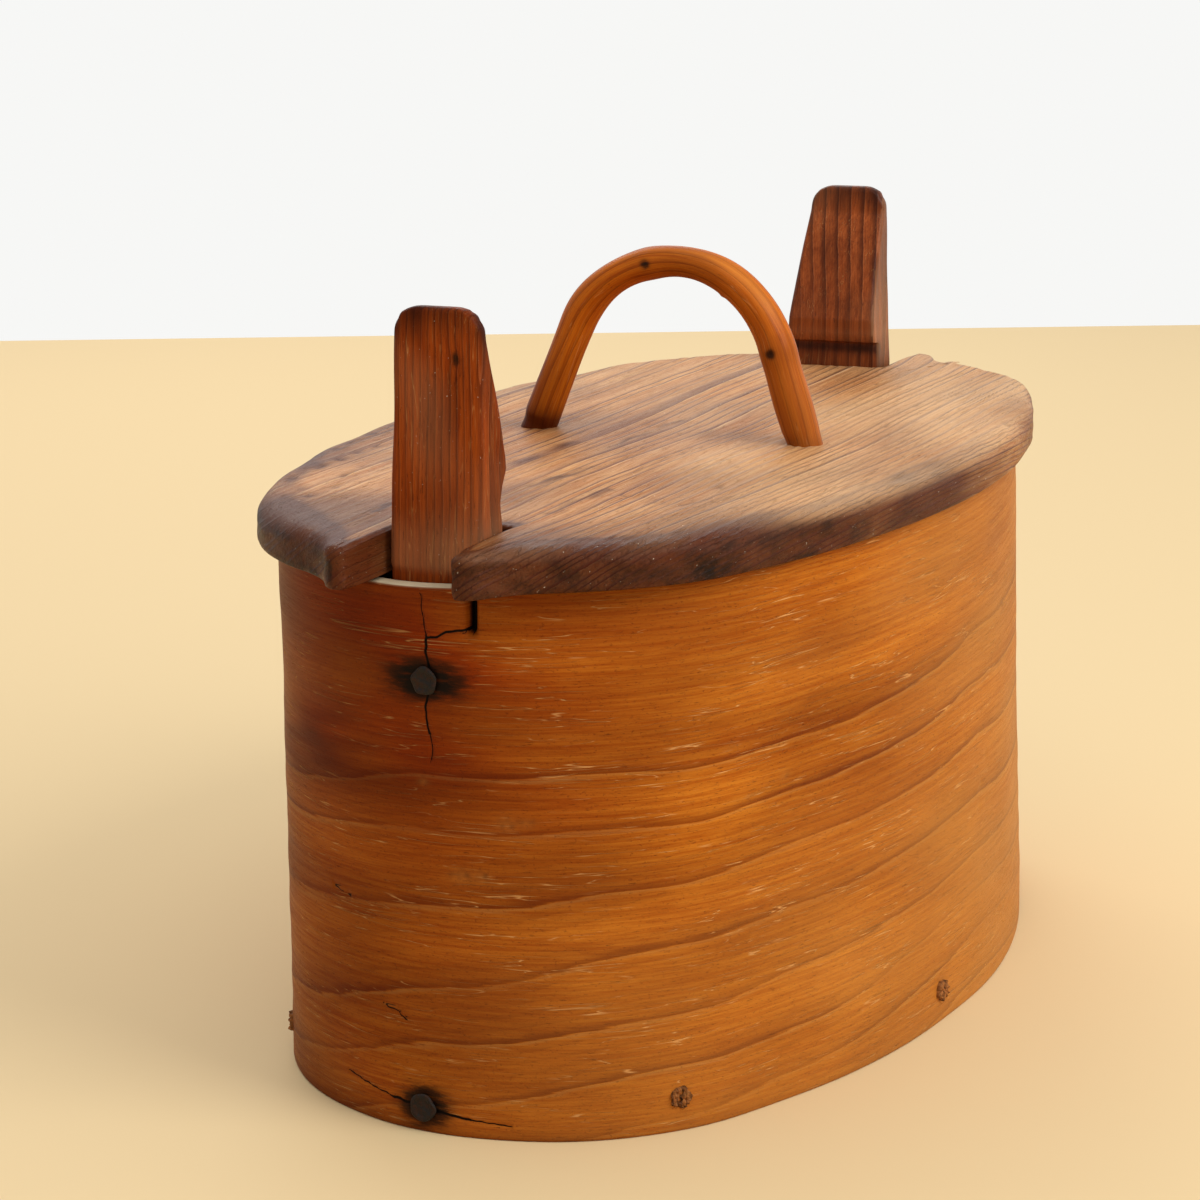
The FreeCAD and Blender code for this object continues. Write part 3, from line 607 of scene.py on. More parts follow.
def band_marks(place, level):
    """Marks of the outer face: cracks and how far off they are, dents, stains, darker, paler and warm places.
    """
    off_slot = from_line(place, level, SLOT)
    crack, split = 0.95 * bump(off_slot, 0.95), np.clip(off_slot / 0.72, -6, 6)
    for number, (line, width) in enumerate(CRACKS):
        wander = 0.12 * waves(63 + number, 3, place, level)
        gap = from_line(place + wander, level + 0.1 * waves(40, 3, place), line)
        crack = np.maximum(crack, 0.95 * bump(gap, 0.55))
        split = np.where(np.abs(gap / width) < np.abs(split), gap / width, split)
    dent = sum(bump(np.hypot((place - across) / 1.8, level - up), size) for across, up, size in SCARS)
    stain = 0
    for (across, up), (along_squeeze, up_squeeze), soft_rings in zip(NAILS, STAIN_SHAPES, STAIN_RINGS):
        gap = np.hypot((place - across) * along_squeeze, (level - up) * up_squeeze)
        stain = stain + sum(strength * bump(gap, size) for strength, size in soft_rings)
    shade = 0.22 * ease(level, 78, 116) * bump(place + 35, 70) + 0.4 * bump(place + 45, 70)
    streaky = 1 + 0.4 * waves(60, 22, place, level * 3)
    shade = shade + 0.3 * bump(level - 86, 8) * bump(place + 25, 45) * streaky
    shade = shade + 0.35 * bump(level - 89 - 3 * np.sin(place / 30), 5.5) * bump(place - 110, 45)
    shade = shade + 0.25 * bump(level - 79, 5) * bump(place + 12, 40) + 0.12 * bump(place, 120)
    # Painted shade along the foot, where the band stands on the floor.
    shade = shade + 0.25 * bump(level, 2.0) + 0.1 * waves(61, 55, place, level * 2.5)
    shade = shade + 0.5 * dent * (0.5 + 0.5 * waves(64, 2.5, place, level))
    warm = bump(place + 12, 44) * (0.3 + 0.6 * ease(level, 50, 95))
    warm = warm * (1 + 0.25 * waves(59, 40, place, level * 2))
    # Paler to the right as painted light, where the band turns to the lamp; also paler low down and over
    # dents.
    front = ease(-place, -480, -300)
    glow = (0.6 * ease(place, 70, 200) + 0.4 * ease(75 - level, 0, 60) * ease(place, -30, 80)) * front
    glow = glow + 0.15 * waves(62, 70, place, level * 2) * ease(np.abs(place - 20), 20, 90) + 0.3 * dent
    return {"crack": crack, "split": split, "dent": dent, "stain": np.clip(stain, 0, 1.2),
            "shade": np.clip(shade, 0, 1), "glow": np.clip(glow, 0, 1), "warm": np.clip(warm, 0, 1)}


print("over the near nail lies ring", round(float(ring_count(*np.array(NAILS[0]))), 1))

# %% [markdown]
# One long surface goes up the outer face, over the rounded rim, down the inner face and back under the
# foot, so the wall is closed and has its real thickness. The band is made as two halves, one for each end.
# At the front the halves meet on one line with the same points, and at the back at the step of the lap,
# where one end of the band lies over the other and thins out to nothing.

# %% The band
RIM_ROUND, FOOT_ROUND, LAP_HALF, LAP_RISE = 0.9, 0.7, 27.0, 1.8
INNER_ROWS, CORNER_ROWS, FLAT_ROWS = 44, 5, 6
MARK_DEEP, RIM_HIGH, SLOT_DEEP, NAIL_DENT = 1.5, HEIGHT - 4, 3.4, 0.45


def wall_section(outer_levels):
    """The closed line round the wall: its depth from the outer face, and its level."""
    quarter = np.linspace(0, np.pi / 2, CORNER_ROWS)
    rim_depth = RIM_ROUND * (1 - np.cos(quarter))
    rim_level = HEIGHT - RIM_ROUND + RIM_ROUND * np.sin(quarter)
    foot_depth = FOOT_ROUND * (1 - np.cos(quarter))
    foot_level = FOOT_ROUND * (1 - np.sin(quarter))
    across = np.linspace(0, 1, FLAT_ROWS)[1:-1]
    inner = np.linspace(HEIGHT - RIM_ROUND, FOOT_ROUND, INNER_ROWS)[1:-1]
    depth = np.concatenate([
        np.zeros(len(outer_levels)), rim_depth, RIM_ROUND + across * (WALL - 2 * RIM_ROUND),
        WALL - rim_depth[::-1], np.full(len(inner), WALL), WALL - foot_depth,
        WALL - FOOT_ROUND - across * (WALL - 2 * FOOT_ROUND), foot_depth[::-1]])
    level = np.concatenate([
        outer_levels, rim_level, np.full(len(across), HEIGHT), rim_level[::-1],
        inner, foot_level, np.zeros(len(across)), foot_level[::-1]])
    return depth[:, None], level[:, None]


def band_form(place, level, depth, marks, lapped):
    """The band's points: the oval wall, less its marks and dents, with its lap and its worn and wavy rim."""
    outer = np.clip(1 - depth / MARK_DEEP, 0, 1)
    slot = bump(from_line(place, level, SLOT), 1.0) * (level > 100)
    sunk = outer * (0.5 * marks["crack"] ** 2) + SLOT_DEEP * slot + 0.3 * outer * marks["dent"]
    for across, up in NAILS:
        sunk = sunk + NAIL_DENT * outer * bump(np.hypot(place - across, level - up), 5.5)
    uneven = 0.22 * waves(70, 48, place, level * 1.4) + 0.05 * waves(72, 9, place * 0.25, level) - 0.3
    rise = LAP_RISE * np.clip(0.5 - on_band(place, level)[..., 0] / (2 * LAP_HALF), 0, 1)
    out = -depth + outer * uneven - sunk + np.where(place > HALF_ROUND, lapped * rise, 0) * outer
    points = on_band(place, level, out)
    rim_dip = ease(level, RIM_HIGH, HEIGHT) * (0.42 + 0.22 * waves(71, 34, place))
    points[..., 2] = level - np.clip(rim_dip, 0.1, 0.9) * (level > RIM_HIGH)
    points[..., 2] = np.where(level <= 0.001, 0.0, points[..., 2])
    return points


def band_half(name, places, lapped):
    """Half of the band over a run of places; the lap belongs to one of the halves."""
    levels = np.concatenate([np.arange(FOOT_ROUND, 10, 0.5), np.arange(10, 84, 1.05),
                             np.arange(84, HEIGHT - RIM_ROUND, 0.52)])[1:]
    depth, level = wall_section(levels)
    place = places[None, :]
    marks = band_marks(place, level)
    points = band_form(place, level, depth, marks, lapped)
    on_rim = ease(level, HEIGHT - 1.0, HEIGHT - 0.2) * ease(depth, 0.15, 0.6)
    fields = {word: marks[word] * (1 - depth / WALL) for word in ("stain", "shade", "glow", "warm", "crack")}
    fields.update(split=marks["split"], rings=ring_count(place, level),
                  bare=on_rim * (0.55 + 0.45 * bump(place, 40)),
                  grain=np.stack(np.broadcast_arrays(place, level, depth), axis=-1))
    first = np.arange(len(points)) * len(places)
    caps = (first, (first + len(places) - 1)[::-1])
    return carve(name, points, fields, BAND_WOOD, loop_rows=True, caps=caps)


BAND_WOOD = Wood("band_wood", (200, 120, 34), (164, 80, 12), (102, 34, 5), ring_dark=0.85, ring_width=0.17,
                 fibre=1.3, scratches=0.95, dull=0.4, coat=0.02, pores=0.6, shine=0.035, halo_dark=0.38,
                 pits=0.5, crest=0.6, bleached=(190, 146, 84))
NEAR_PLACES = np.concatenate([np.linspace(LAP_HALF - QUARTER, -32, 98)[:-1], np.linspace(-32, 21, 146)[:-1],
                              np.linspace(21, QUARTER, 120)])
FAR_PLACES = np.linspace(QUARTER, 3 * QUARTER + LAP_HALF, 290)
for end, way, places, lapped in (("near", -1, NEAR_PLACES, 0), ("far", 1, FAR_PLACES, 1)):
    half = band_half(f"band_{end}_half", places, lapped)
    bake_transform(half)
    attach(half, "root")
    if end == "near":
        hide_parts("side_band")

# %% [markdown]
# A post is split from straight-grained wood and carved with a knife: a stem that fits the inside of the
# band, a neck where the lid lies, a nose that holds it and a thin rounded crown. It is built as level
# sections from the foot to the crown, each a rectangle with rounded corners, and the thickness at each
# level comes from the carved side view.

# %% The two posts
POST_FACE, POST_FOOT, POST_TOP, NECK = 127.75, 1.0, 182.4, 139.1
LEAN, FOOT_SHIFT, FAR_SHIFT = math.radians(1.8), 4.2, 2.4
STEM_TOP, TAPER_FROM, CROWN_RISE, CROWN_IN = 125, 134, 5.5, 5.2
EDGE_WEAR, STEM_WEAR, TOP_WEAR, LIP_WEAR, VIEW_WEAR = 1.5, 0.8, 1.4, 0.35, 1.2
CORNER_POINTS, FLAT_POINTS = 7, 18
NEAR_VIEW = [(1, 11.5), (128, 11.4), (136, 10.8), (139.5, 10.4), (143, 11.9), (146.2, 14.0), (149, 13.7),
             (156, 11.3), (166, 7.9), (175.5, 4.3), (182.4, 3.5)]
FAR_VIEW = [(1, 11.5), (128, 11.4), (137, 10.7), (140.3, 10.4), (140.7, 13.4), (143, 13.9), (147, 14.0),
            (151, 12.9), (157, 11.0), (166, 7.9), (175.5, 4.3), (182.4, 3.5)]


def post_middle(level, shift):
    """How far across the middle of a post lies at a level."""
    return FOOT_SHIFT + shift - level * math.tan(LEAN)


def rounded_rectangle(half_wide, half_deep, corner):
    """Points round a rectangle with round corners; rows of sizes give rows of points."""
    quarter = np.linspace(0, np.pi / 2, CORNER_POINTS)
    turns = np.concatenate([quarter + np.pi / 2 * number for number in range(4)])
    sign_x, sign_y = np.repeat([1, -1, -1, 1], CORNER_POINTS), np.repeat([1, 1, -1, -1], CORNER_POINTS)
    x = sign_x * (half_wide - corner)[:, None] + corner[:, None] * np.cos(turns)
    y = sign_y * (half_deep - corner)[:, None] + corner[:, None] * np.sin(turns)
    x, y = np.hstack([x, x[:, :1]]), np.hstack([y, y[:, :1]])
    last = CORNER_POINTS - 1
    wide = [np.linspace(stop, stop + 1, FLAT_POINTS if stop % CORNER_POINTS == last else 2)[:-1]
            for stop in range(4 * CORNER_POINTS)]
    spread = np.concatenate(wide)
    low = spread.astype(int)
    share = spread - low
    return x[:, low] + (x[:, low + 1] - x[:, low]) * share, y[:, low] + (y[:, low + 1] - y[:, low]) * share


def worn_line(level, stops, values, wear, step=0.05):
    """Straight pieces through the values at the stops, with every corner worn round over a short length."""
    dense = np.arange(stops[0] - 2 * wear, stops[-1] + 2 * wear, step)
    soft = bell(int(2 * wear / step) // 2 * 2 + 1)
    line = np.pad(np.interp(dense, stops, values), len(soft) // 2, "edge")
    return np.interp(level, dense, np.convolve(line, soft, "valid"))


def post_sections(stem_width, top_width, side_view, wear):
    """Level sections from foot to crown: their level, points across and inward, depth and width, as rows."""
    levels = np.concatenate([np.linspace(POST_FOOT, 120, 50)[:-1], np.linspace(120, 139.2, 40)[:-1],
                             np.linspace(139.2, 142, 28)[:-1], np.linspace(142, POST_TOP - 7, 76)[:-1],
                             POST_TOP - 7 * (1 - np.sin(np.linspace(0, np.pi / 2, 16)))])
    deep = worn_line(levels, *np.array(side_view).T, wear)
    taper = np.clip((levels - TAPER_FROM) / (POST_TOP - TAPER_FROM), 0, 1)
    wide = stem_width + (top_width - stem_width) * taper
    crown, top = (np.clip((levels - POST_TOP + rise) / rise, 0, 1) for rise in (CROWN_RISE, TOP_WEAR))
    worn = 1.1 * (1 - np.sqrt(1 - top ** 2))
    half_wide = wide / 2 - CROWN_IN * (1 - np.sqrt(1 - crown ** 2)) - worn * 0.6
    half_deep = np.maximum(deep / 2 - worn, 0.6)
    corner = np.minimum(np.where(levels > STEM_TOP, EDGE_WEAR, STEM_WEAR), half_deep * 0.9)
    shrink = np.array([0.62, 0.3, 0.0])[:, None]
    across, inward = (np.vstack([part[:1] * 0, part, shrink * part[-1:]])
                      for part in rounded_rectangle(half_wide, half_deep, corner))
    level, deep, wide = (np.pad(part, (1, len(shrink)), "edge")[:, None] for part in (levels, deep, wide))
    return level + 0 * across, across, inward, deep, wide


def post(end, way, shift, stem_width, top_width, side_view, dents, pitch, lip, finish, seed):
    """One carved post, its sections roughened by the knife on its leaning line, with painted shade under a
    lip.
    """
    wear = LIP_WEAR if lip else VIEW_WEAR
    level, across, inward, deep, wide = post_sections(stem_width, top_width, side_view, wear)
    above = ease(level, 124.5, 127)
    rough = 0.14 * waves(seed, 9, across, deep / 2 + inward, level * 0.35)
    rough = rough + 0.16 * waves(seed + 1, 26, deep / 2 + inward, level)
    rough = rough + 0.1 * waves(seed + 2, 2.3, across + 0.02 * level)
    swell = 1 + above * rough / np.maximum(np.hypot(across, inward), 2.0)
    across, inward = across * swell, deep / 2 + inward * swell
    scars = 0 * across
    for at_across, at_level, size, sink in dents:
        gap = np.hypot(across - at_across, (level - at_level) * 0.55)
        inward = inward + sink * bump(gap, size) * (inward < 1.5)
        scars = scars + 0.8 * bump(gap, size * 0.75)
    y = across + post_middle(level, shift)
    sag = (1 - above) * np.maximum(y ** 2 / (2 * (RIM_OVAL[2] - WALL)), 0)
    x = way * (POST_FACE - inward - (1 - inward / deep) * sag)
    x = x + way * (BASE_OVAL[0] - RIM_OVAL[0]) * (1 - level / HEIGHT) * (1 - above)
    rings = (across * (1 + 0.0012 * level) + 0.45 * inward) / pitch
    rings = rings + 0.16 * waves(seed + 3, 70, across * 2, level)
    shade = 0.7 * ease(level, 172, 182) + 0.4 * bump(np.abs(across) - wide / 2, 1.3) * above
    shade = shade + 0.25 * waves(seed + 6, 5, across, inward, level * 0.1) * above
    # Painted shade on the neck just under the lip and down the stem to the rim, on the lip's side only.
    below = 0.95 * bump(level - NECK, 1.5) + 0.5 * ease(NECK - level, -0.5, 1.5) * ease(level, 120, 130)
    shade = shade + lip * below * ease(inward, 6, 9) + 0.15 * waves(seed + 4, 30, across * 2, level)
    # Near post: paler round the rim's height. Far post: a painted highlight over the lip, painted light on
    # its front side face.
    glow = 0.4 * bump(level - 128, 11) * (1 - lip) + 0.1 * waves(seed + 5, 26, across, level)
    glow = glow + 0.3 * lip * (0.3 * bump(level - NECK - 4, 1.4) + (across < 0.5 - wide / 2))
    fields = {"rings": rings, "grain": np.stack([level + seed, across, inward], axis=-1),
              "shade": np.clip(shade, 0, 1), "glow": np.clip(glow, 0, 1) * above,
              "stain": np.clip(scars * (inward < 2), 0, 1)}
    piece = carve(f"{end}_post_carved", np.stack([x, y, level], axis=-1), fields, finish, loop_columns=True)
    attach(piece, f"{end}_post")
    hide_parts(f"{end}_post")


NEAR_WOOD = Wood("near_post_wood", (168, 76, 20), (120, 44, 9), (66, 22, 6), ring_dark=0.55, ring_width=0.35,
                 fibre=1.2, scratches=0.3, dull=0.42, coat=0.04, relief=0.0002, shine=0.03, dust=0.4,
                 crest=0.12)
FAR_WOOD = Wood("far_post_wood", (184, 96, 44), (132, 58, 18), (56, 20, 7), ring_dark=0.75, ring_width=0.5,
                fibre=1.2, scratches=0.35, dull=0.36, coat=0.12, relief=0.0002, halo_dark=0.7, crest=0.1)
post("near", -1, 0, 22, 19.8, NEAR_VIEW, [(-4.5, 171.5, 1.2, 0.7)], 1.95, 0, NEAR_WOOD, 11)
post("far", 1, FAR_SHIFT, 26.2, 20.6, FAR_VIEW, [], 4.3, 1, FAR_WOOD, 31)

# %% [markdown]
# The nails are hand forged: a square-ish shank drawn to a point, and a head beaten flat by a few blows, so
# it is neither round nor level. A nail is its side view turned about its axis, with a few blows' worth of
# unevenness. Rust black comes from the iron and the tannin of the wood, and it has crept into the wood
# round each head.

# %% Nails
NAIL_SEAT, NAIL_TIP, NAIL_ROWS, NAIL_ROUND = 0.15, 4, 90, 48
HIGH_HEAD, LOW_HEAD, HIGH_LONG, LOW_LONG, HIGH_ASIDE = 3.1, 3.2, 15, 30, 0.25


def nail_iron():
    """Black iron with brown rust in its hollows."""
    finish = Finish("nail_iron", Metallic=0.2, Specular_IOR_Level=0.3)
    rust = finish.noise(finish.read("grain", "Vector"), 0.9, 5, 0.65)
    tone = finish.mix(finish.span(rust, 0.42, 0.66), colour(27, 21, 18), colour(52, 30, 17))
    finish.surface(tone, finish.span(rust, 0.3, 0.7, 0.42, 0.8), rust, 0.0003)
    return finish


def nail(name, body, way, level, head, length, y, seed):
    """A forged nail along X: a side view of places out and radii, turned round, with a beaten head."""
    edge = (BASE_OVAL[0] + (RIM_OVAL[0] - BASE_OVAL[0]) * level / HEIGHT) + NAIL_SEAT
    out = np.array([0.25, 0.25, 0.45, 0.4, 0.1, -0.3, -0.4, -0.5, -1.0, NAIL_TIP - length, -length])
    radius = np.array([0.0, 0.55, 0.74, 0.9, 1.0, 0.93, 0.6, 1.3 / head, 1.25 / head, 1.2 / head, 0.0]) * head
    side_view, corners = np.stack([out, radius], axis=1), np.arange(len(out))
    out, radius = points_at(np.linspace(0, corners[-1], NAIL_ROWS), corners, side_view).T[..., None]
    turn = round_turns(NAIL_ROUND)
    facets = 1 - 0.03 * np.cos(5 * turn + seed) - 0.03 * np.cos(3 * turn + 2 * seed) - 0.02 * np.cos(2 * turn)
    radius = radius * np.where(out > -0.45, facets, 1.0)
    a, b = radius * np.cos(turn), radius * np.sin(turn)
    out = out + (out > -0.1) * 0.14 * waves(seed, 3.4, a, b)
    points = np.stack([way * (edge + out), y + a, level + b], axis=-1)
    grain = np.stack([a, b, out], axis=-1)
    piece = carve(name, points, {"grain": grain}, NAIL_IRON, loop_columns=True)
    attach(piece, body)
    return piece


NAIL_IRON = nail_iron()
for end, way, shift in (("near", -1, 0.0), ("far", 1, FAR_SHIFT)):
    high_y, low_y = post_middle(HIGH_LEVEL, shift) - HIGH_ASIDE, post_middle(LOW_LEVEL, shift)
    high = nail(f"{end}_upper_nail_forged", f"{end}_post", way, HIGH_LEVEL, HIGH_HEAD, HIGH_LONG, high_y,
                3 + way)
    low = nail(f"{end}_lower_nail_forged", "root", way, LOW_LEVEL, LOW_HEAD, LOW_LONG, low_y, 7 + way)
    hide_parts(f"{end}_upper_nail")
    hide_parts(f"{end}_lower_nail")

# %% [markdown]
# Six pegs go straight in through the band to hold the bottom board. Each is whittled round by eye and cut
# off close to the band, so its end is a rough face of broken fibres with a little hollow and a split.

# %% Pegs
PEG_LEVEL, PEG_LENGTH, PEG_PROUD = 8.0, 21.0, 0.35
PEG_FACE, PEG_THICK, PEG_THIN = 2.5, 2.62, 2.15
FACE_ROWS, STEM_ROWS, PEG_ROUND = 7, 26, 40


def peg(spot, centre, radius, outward, seed):
    """A whittled peg along the way out at a turn of one of the band's arcs: rows of rough circles."""
    out = np.concatenate([np.zeros(FACE_ROWS), np.linspace(0.0, -PEG_LENGTH, STEM_ROWS), [-PEG_LENGTH] * 3])
    width = np.concatenate([np.linspace(0, PEG_FACE, FACE_ROWS + 1)[:-1],
                            np.linspace(PEG_THICK, PEG_THIN, STEM_ROWS), [1.5, 0.7, 0.0]])
    turn = round_turns(PEG_ROUND)
    out, width = out[:, None] + 0 * turn, width[:, None]
    width = width * (1 - 0.12 * np.abs(np.sin(2.5 * turn + seed)) + 0.04 * np.sin(7 * turn + 2 * seed))
    a, b = width * np.cos(turn), width * np.sin(turn)
    end_face, cleft = out > -0.01, a - 0.3 * b
    out = out + end_face * (0.45 * waves(seed, 1.3, a * 1.4, b, count=14) - 0.25 - 0.5 * bump(cleft, 0.35))
    way = np.array([math.cos(outward), math.sin(outward)])
    aside = np.array([-way[1], way[0]])
    start = np.array(centre) + way * (radius + PEG_PROUD)
    plan = start + out[..., None] * way + a[..., None] * aside
    points = np.concatenate([plan, (PEG_LEVEL + b)[..., None]], axis=-1)
    fields = {"rings": a / 1.1, "grain": np.stack([out, a + seed, b], axis=-1),
              "shade": 0.1 * end_face + 0.5 * bump(width - PEG_FACE, 0.4),
              "stain": 0.5 * end_face * bump(cleft, 0.6)}
    piece = carve(f"peg_{spot}_whittled", points, fields, PEG_WOOD, loop_columns=True)
    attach(piece, "root")
    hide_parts(f"peg_{spot}")


PEG_WOOD = Wood("peg_wood", (200, 134, 74), (150, 82, 34), (56, 26, 12), ring_dark=0.7, ring_width=0.4,
                fibre=0.9, scratches=0.2, dull=0.6, coat=0.0, relief=0.0003)
BASE_SIDE, BASE_CENTRE, _ = arcs(BASE_OVAL)
SIDE_CENTRE, BASE_END = BASE_SIDE - BASE_OVAL[1], BASE_OVAL[2]
PEG_SPOTS = (
    ("front_near", (-BASE_CENTRE, 0), BASE_END, 229), ("back_near", (-BASE_CENTRE, 0), BASE_END, 120),
    ("front_far", (BASE_CENTRE, 0), BASE_END, -49), ("back_far", (BASE_CENTRE, 0), BASE_END, 60),
    ("front_middle", (0, SIDE_CENTRE), BASE_SIDE, -96), ("back_middle", (0, -SIDE_CENTRE), BASE_SIDE, 77),
)
for number, (spot, centre, radius, outward) in enumerate(PEG_SPOTS):
    peg(spot, centre, radius, math.radians(outward), number)

# %% [markdown]
# The ends of the band overlap at the back and are laced with split root. Each row is one root that runs out
# and in through ten slits, so a short strap shows outside, then none, then a strap again. The path is a
# square wave with its corners rounded, and the root is a flat strip drawn along it, a little fatter in the
# middle of each strap.

# %% Lacing
LACE_FIRST, LACE_PITCH, LACE_SLITS, LACE_WIDTH, LACE_THICK = 22.0, 10.0, 10, 3.0, 1.2
LACE_ASIDE, LACE_ROWS, LACE_ROUND, LACE_PLAY, LACE_TIP = 16.0, 760, 24, 0.1, 0.6


def lace_path(x):
    """How far the root has run, how high and how far out it is: a square wave with its corners worn round."""
    rise = LAP_RISE * (0.5 - x / (2 * LAP_HALF))
    inside, outside = -WALL - LACE_THICK / 2 - LACE_PLAY, rise + LACE_THICK / 2 + LACE_PLAY
    up = np.repeat(LACE_FIRST + LACE_PITCH * np.arange(LACE_SLITS), 2)
    out = np.tile([inside, outside, outside, inside], LACE_SLITS // 2)
    corners = np.stack([up, out], axis=1)
    along = np.linspace(0, runs(corners)[-1], LACE_ROWS)
    path = points_at(along, runs(corners), corners)
    soft = bell(13)
    reach = len(soft) // 2
    worn = np.stack([np.convolve(part, soft, "valid") for part in path.T], axis=1)
    return along, *np.concatenate([path[:reach], worn, path[-reach:]]).T


def lacing(end, x, seed):
    """A split root woven up the back of the band: a flat rounded strip swept along its path."""
    along, up, out = lace_path(x)
    heading = np.arctan2(np.gradient(out), np.gradient(up))[:, None]
    turn = round_turns(LACE_ROUND)
    ends = np.clip(np.minimum(along, along[-1] - along) / LACE_TIP, 0, 1)
    size = (np.sqrt(1 - (1 - ends) ** 2) * (1 + 0.06 * waves(seed, 7, along)))[:, None]
    wide = LACE_WIDTH / 2 * size * np.sign(np.cos(turn)) * np.abs(np.cos(turn)) ** 0.7
    thick = LACE_THICK / 2 * size * np.sign(np.sin(turn)) * np.abs(np.sin(turn)) ** 0.8
    level, depth = up[:, None] - thick * np.sin(heading), out[:, None] + thick * np.cos(heading)
    place = x + wide + 0.15 * waves(seed + 1, 12, along)[:, None] - QUARTER
    grain = np.stack(np.broadcast_arrays(along[:, None], wide, thick), axis=-1)
    shade = 0.3 + 0.35 * bump(np.abs(thick) - LACE_THICK / 2, 0.3)
    first = np.arange(LACE_ROUND)
    caps = (first[::-1], first + (LACE_ROWS - 1) * LACE_ROUND)
    points = on_band(place, level, depth)
    fields = {"rings": wide / 1.3, "grain": grain, "shade": shade}
    piece = carve(f"seam_lacing_{end}_woven", points, fields, LACING_ROOT, loop_columns=True, caps=caps)
    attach(piece, "root")
    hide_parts(f"seam_lacing_{end}")


LACING_ROOT = Wood("lacing_root", (150, 96, 52), (112, 66, 34), (58, 32, 18), ring_dark=0.5, ring_width=0.4,
                   fibre=0.9, scratches=0.3, dull=0.5, coat=0.1, relief=0.0002)
lacing("near", -LACE_ASIDE, 41)
lacing("far", LACE_ASIDE, 45)

# %% [markdown]
# The lid is an oval board that reaches past the band. At each end it has a notch for its post, and beside
# the notch two horns, left where a hollow was carved to each side. The outline is worked out for a quarter
# at a time, from the middle of the notch's floor out round the horn and on along the oval, and then sampled
# closely at the carved ends and widely along the plain sides.

# %% The outline of the lid
LID_LOW, LID_THICK = 124.2, 10.0
LID_OVAL, LID_SHIFT = (140.5, 78.75, 65.0), 1.0
HOLLOW, FLARE, HORN_WIDTH, HORN_ROOT = 25.0, 9.0, 5.5, 28.0
LID_ENDS = {
    "near": {"way": -1, "tip": 146.0, "floor": 113.85, "room": 12.0, "middle": 0.14},
    "far": {"way": 1, "tip": 145.0, "floor": 115.95, "room": 14.1, "middle": 2.54},
}
LID_SIDE, LID_CENTRE, LID_TURN = arcs(LID_OVAL)
FINE_STEP, END_SPACING, SIDE_SPACING, WORN_CORNER = 0.2, 0.9, 3.2, 17


def quarter_outline(end, side):
    """One quarter of the outline, from the middle of a notch's floor to the middle of a long side."""
    way, tip, floor, room, middle = LID_ENDS[end].values()
    corner = room + HORN_WIDTH
    hollow_middle = corner + math.sqrt(HOLLOW ** 2 - FLARE ** 2)
    across = np.linspace(corner, HORN_ROOT, 24)
    hollow = np.stack([tip + FLARE - np.sqrt(HOLLOW ** 2 - (across - hollow_middle) ** 2), across], axis=1)
    nose = [(-2.4, room), (-0.9, room + 0.35), (-0.2, room + 1.3), (0, room + 2.6), (-0.25, corner - 1.3),
            (-1.0, corner - 0.3)]
    carved = np.array([(floor, 0), (floor, room)] + [(tip + back, aside) for back, aside in nose])
    carved = np.vstack([carved, hollow[2:]])
    carved = np.stack([way * carved[:, 0], middle + side * carved[:, 1]], axis=1)
    turn = np.linspace(math.asin(abs(carved[-1, 1]) / LID_OVAL[2]), LID_TURN, 60)
    end_arc = np.stack([way * (LID_CENTRE + LID_OVAL[2] * np.cos(turn)) + LID_SHIFT,
                        side * LID_OVAL[2] * np.sin(turn)], axis=1)
    turn = np.linspace(LID_TURN, np.pi / 2, 120)
    side_arc = np.stack([way * LID_SIDE * np.cos(turn) + LID_SHIFT,
                         side * (LID_SIDE * np.sin(turn) - LID_SIDE + LID_OVAL[1])], axis=1)
    return np.vstack([carved, end_arc[1:], side_arc[1:]])


def whole_outline():
    """The closed outline, sampled closely at both ends and widely between, with its corners worn round."""
    line = np.vstack([quarter_outline("near", -1), quarter_outline("far", -1)[::-1][1:],
                      quarter_outline("far", 1)[1:], quarter_outline("near", 1)[::-1][1:]])
    points = points_at(np.arange(0, runs(line)[-1], FINE_STEP), runs(line), line)
    reach = WORN_CORNER // 2
    looped = np.vstack([points[-reach:], points, points[:reach]])
    points = np.stack([np.convolve(part, bell(WORN_CORNER), "valid") for part in looped.T], axis=1)
    spacing = END_SPACING + (SIDE_SPACING - END_SPACING) * ease(118 - np.abs(points[:, 0]), 0, 30)
    count = np.cumsum(FINE_STEP / spacing)
    stops = np.linspace(0, count[-1], int(count[-1] / 2) * 2, endpoint=False)
    where = np.interp(stops, [0, *count], np.arange(len(count) + 1)) % len(points)
    return points_at(where, np.arange(len(points) + 1), np.vstack([points, points[:1]]))


outline = whole_outline()
print("the lid's outline has", len(outline), "points")

# %% [markdown]
# The lid's surface is a stack of loops: under the board from its middle line out to the edge, round the
# edge, and back over the top to the middle line. Each loop keeps the same number of points, so the inner
# loops are drawn towards a long oval that the outline can be joined to without any line crossing a notch.

# %% The loops of the lid
CORE_WIDE, CORE_FALL, CORE_END, SPINE_END = 30.0, 0.83, 122, 95.0
NOTCH_FLOOR, NOTCH_MIDDLE, HORN_TIP = 113, 1.3, 146
UNDER_IN, UNDER_OUT, TOP_OUT, TOP_IN, EDGE_ROWS = 6, 8, 87, 47, 14


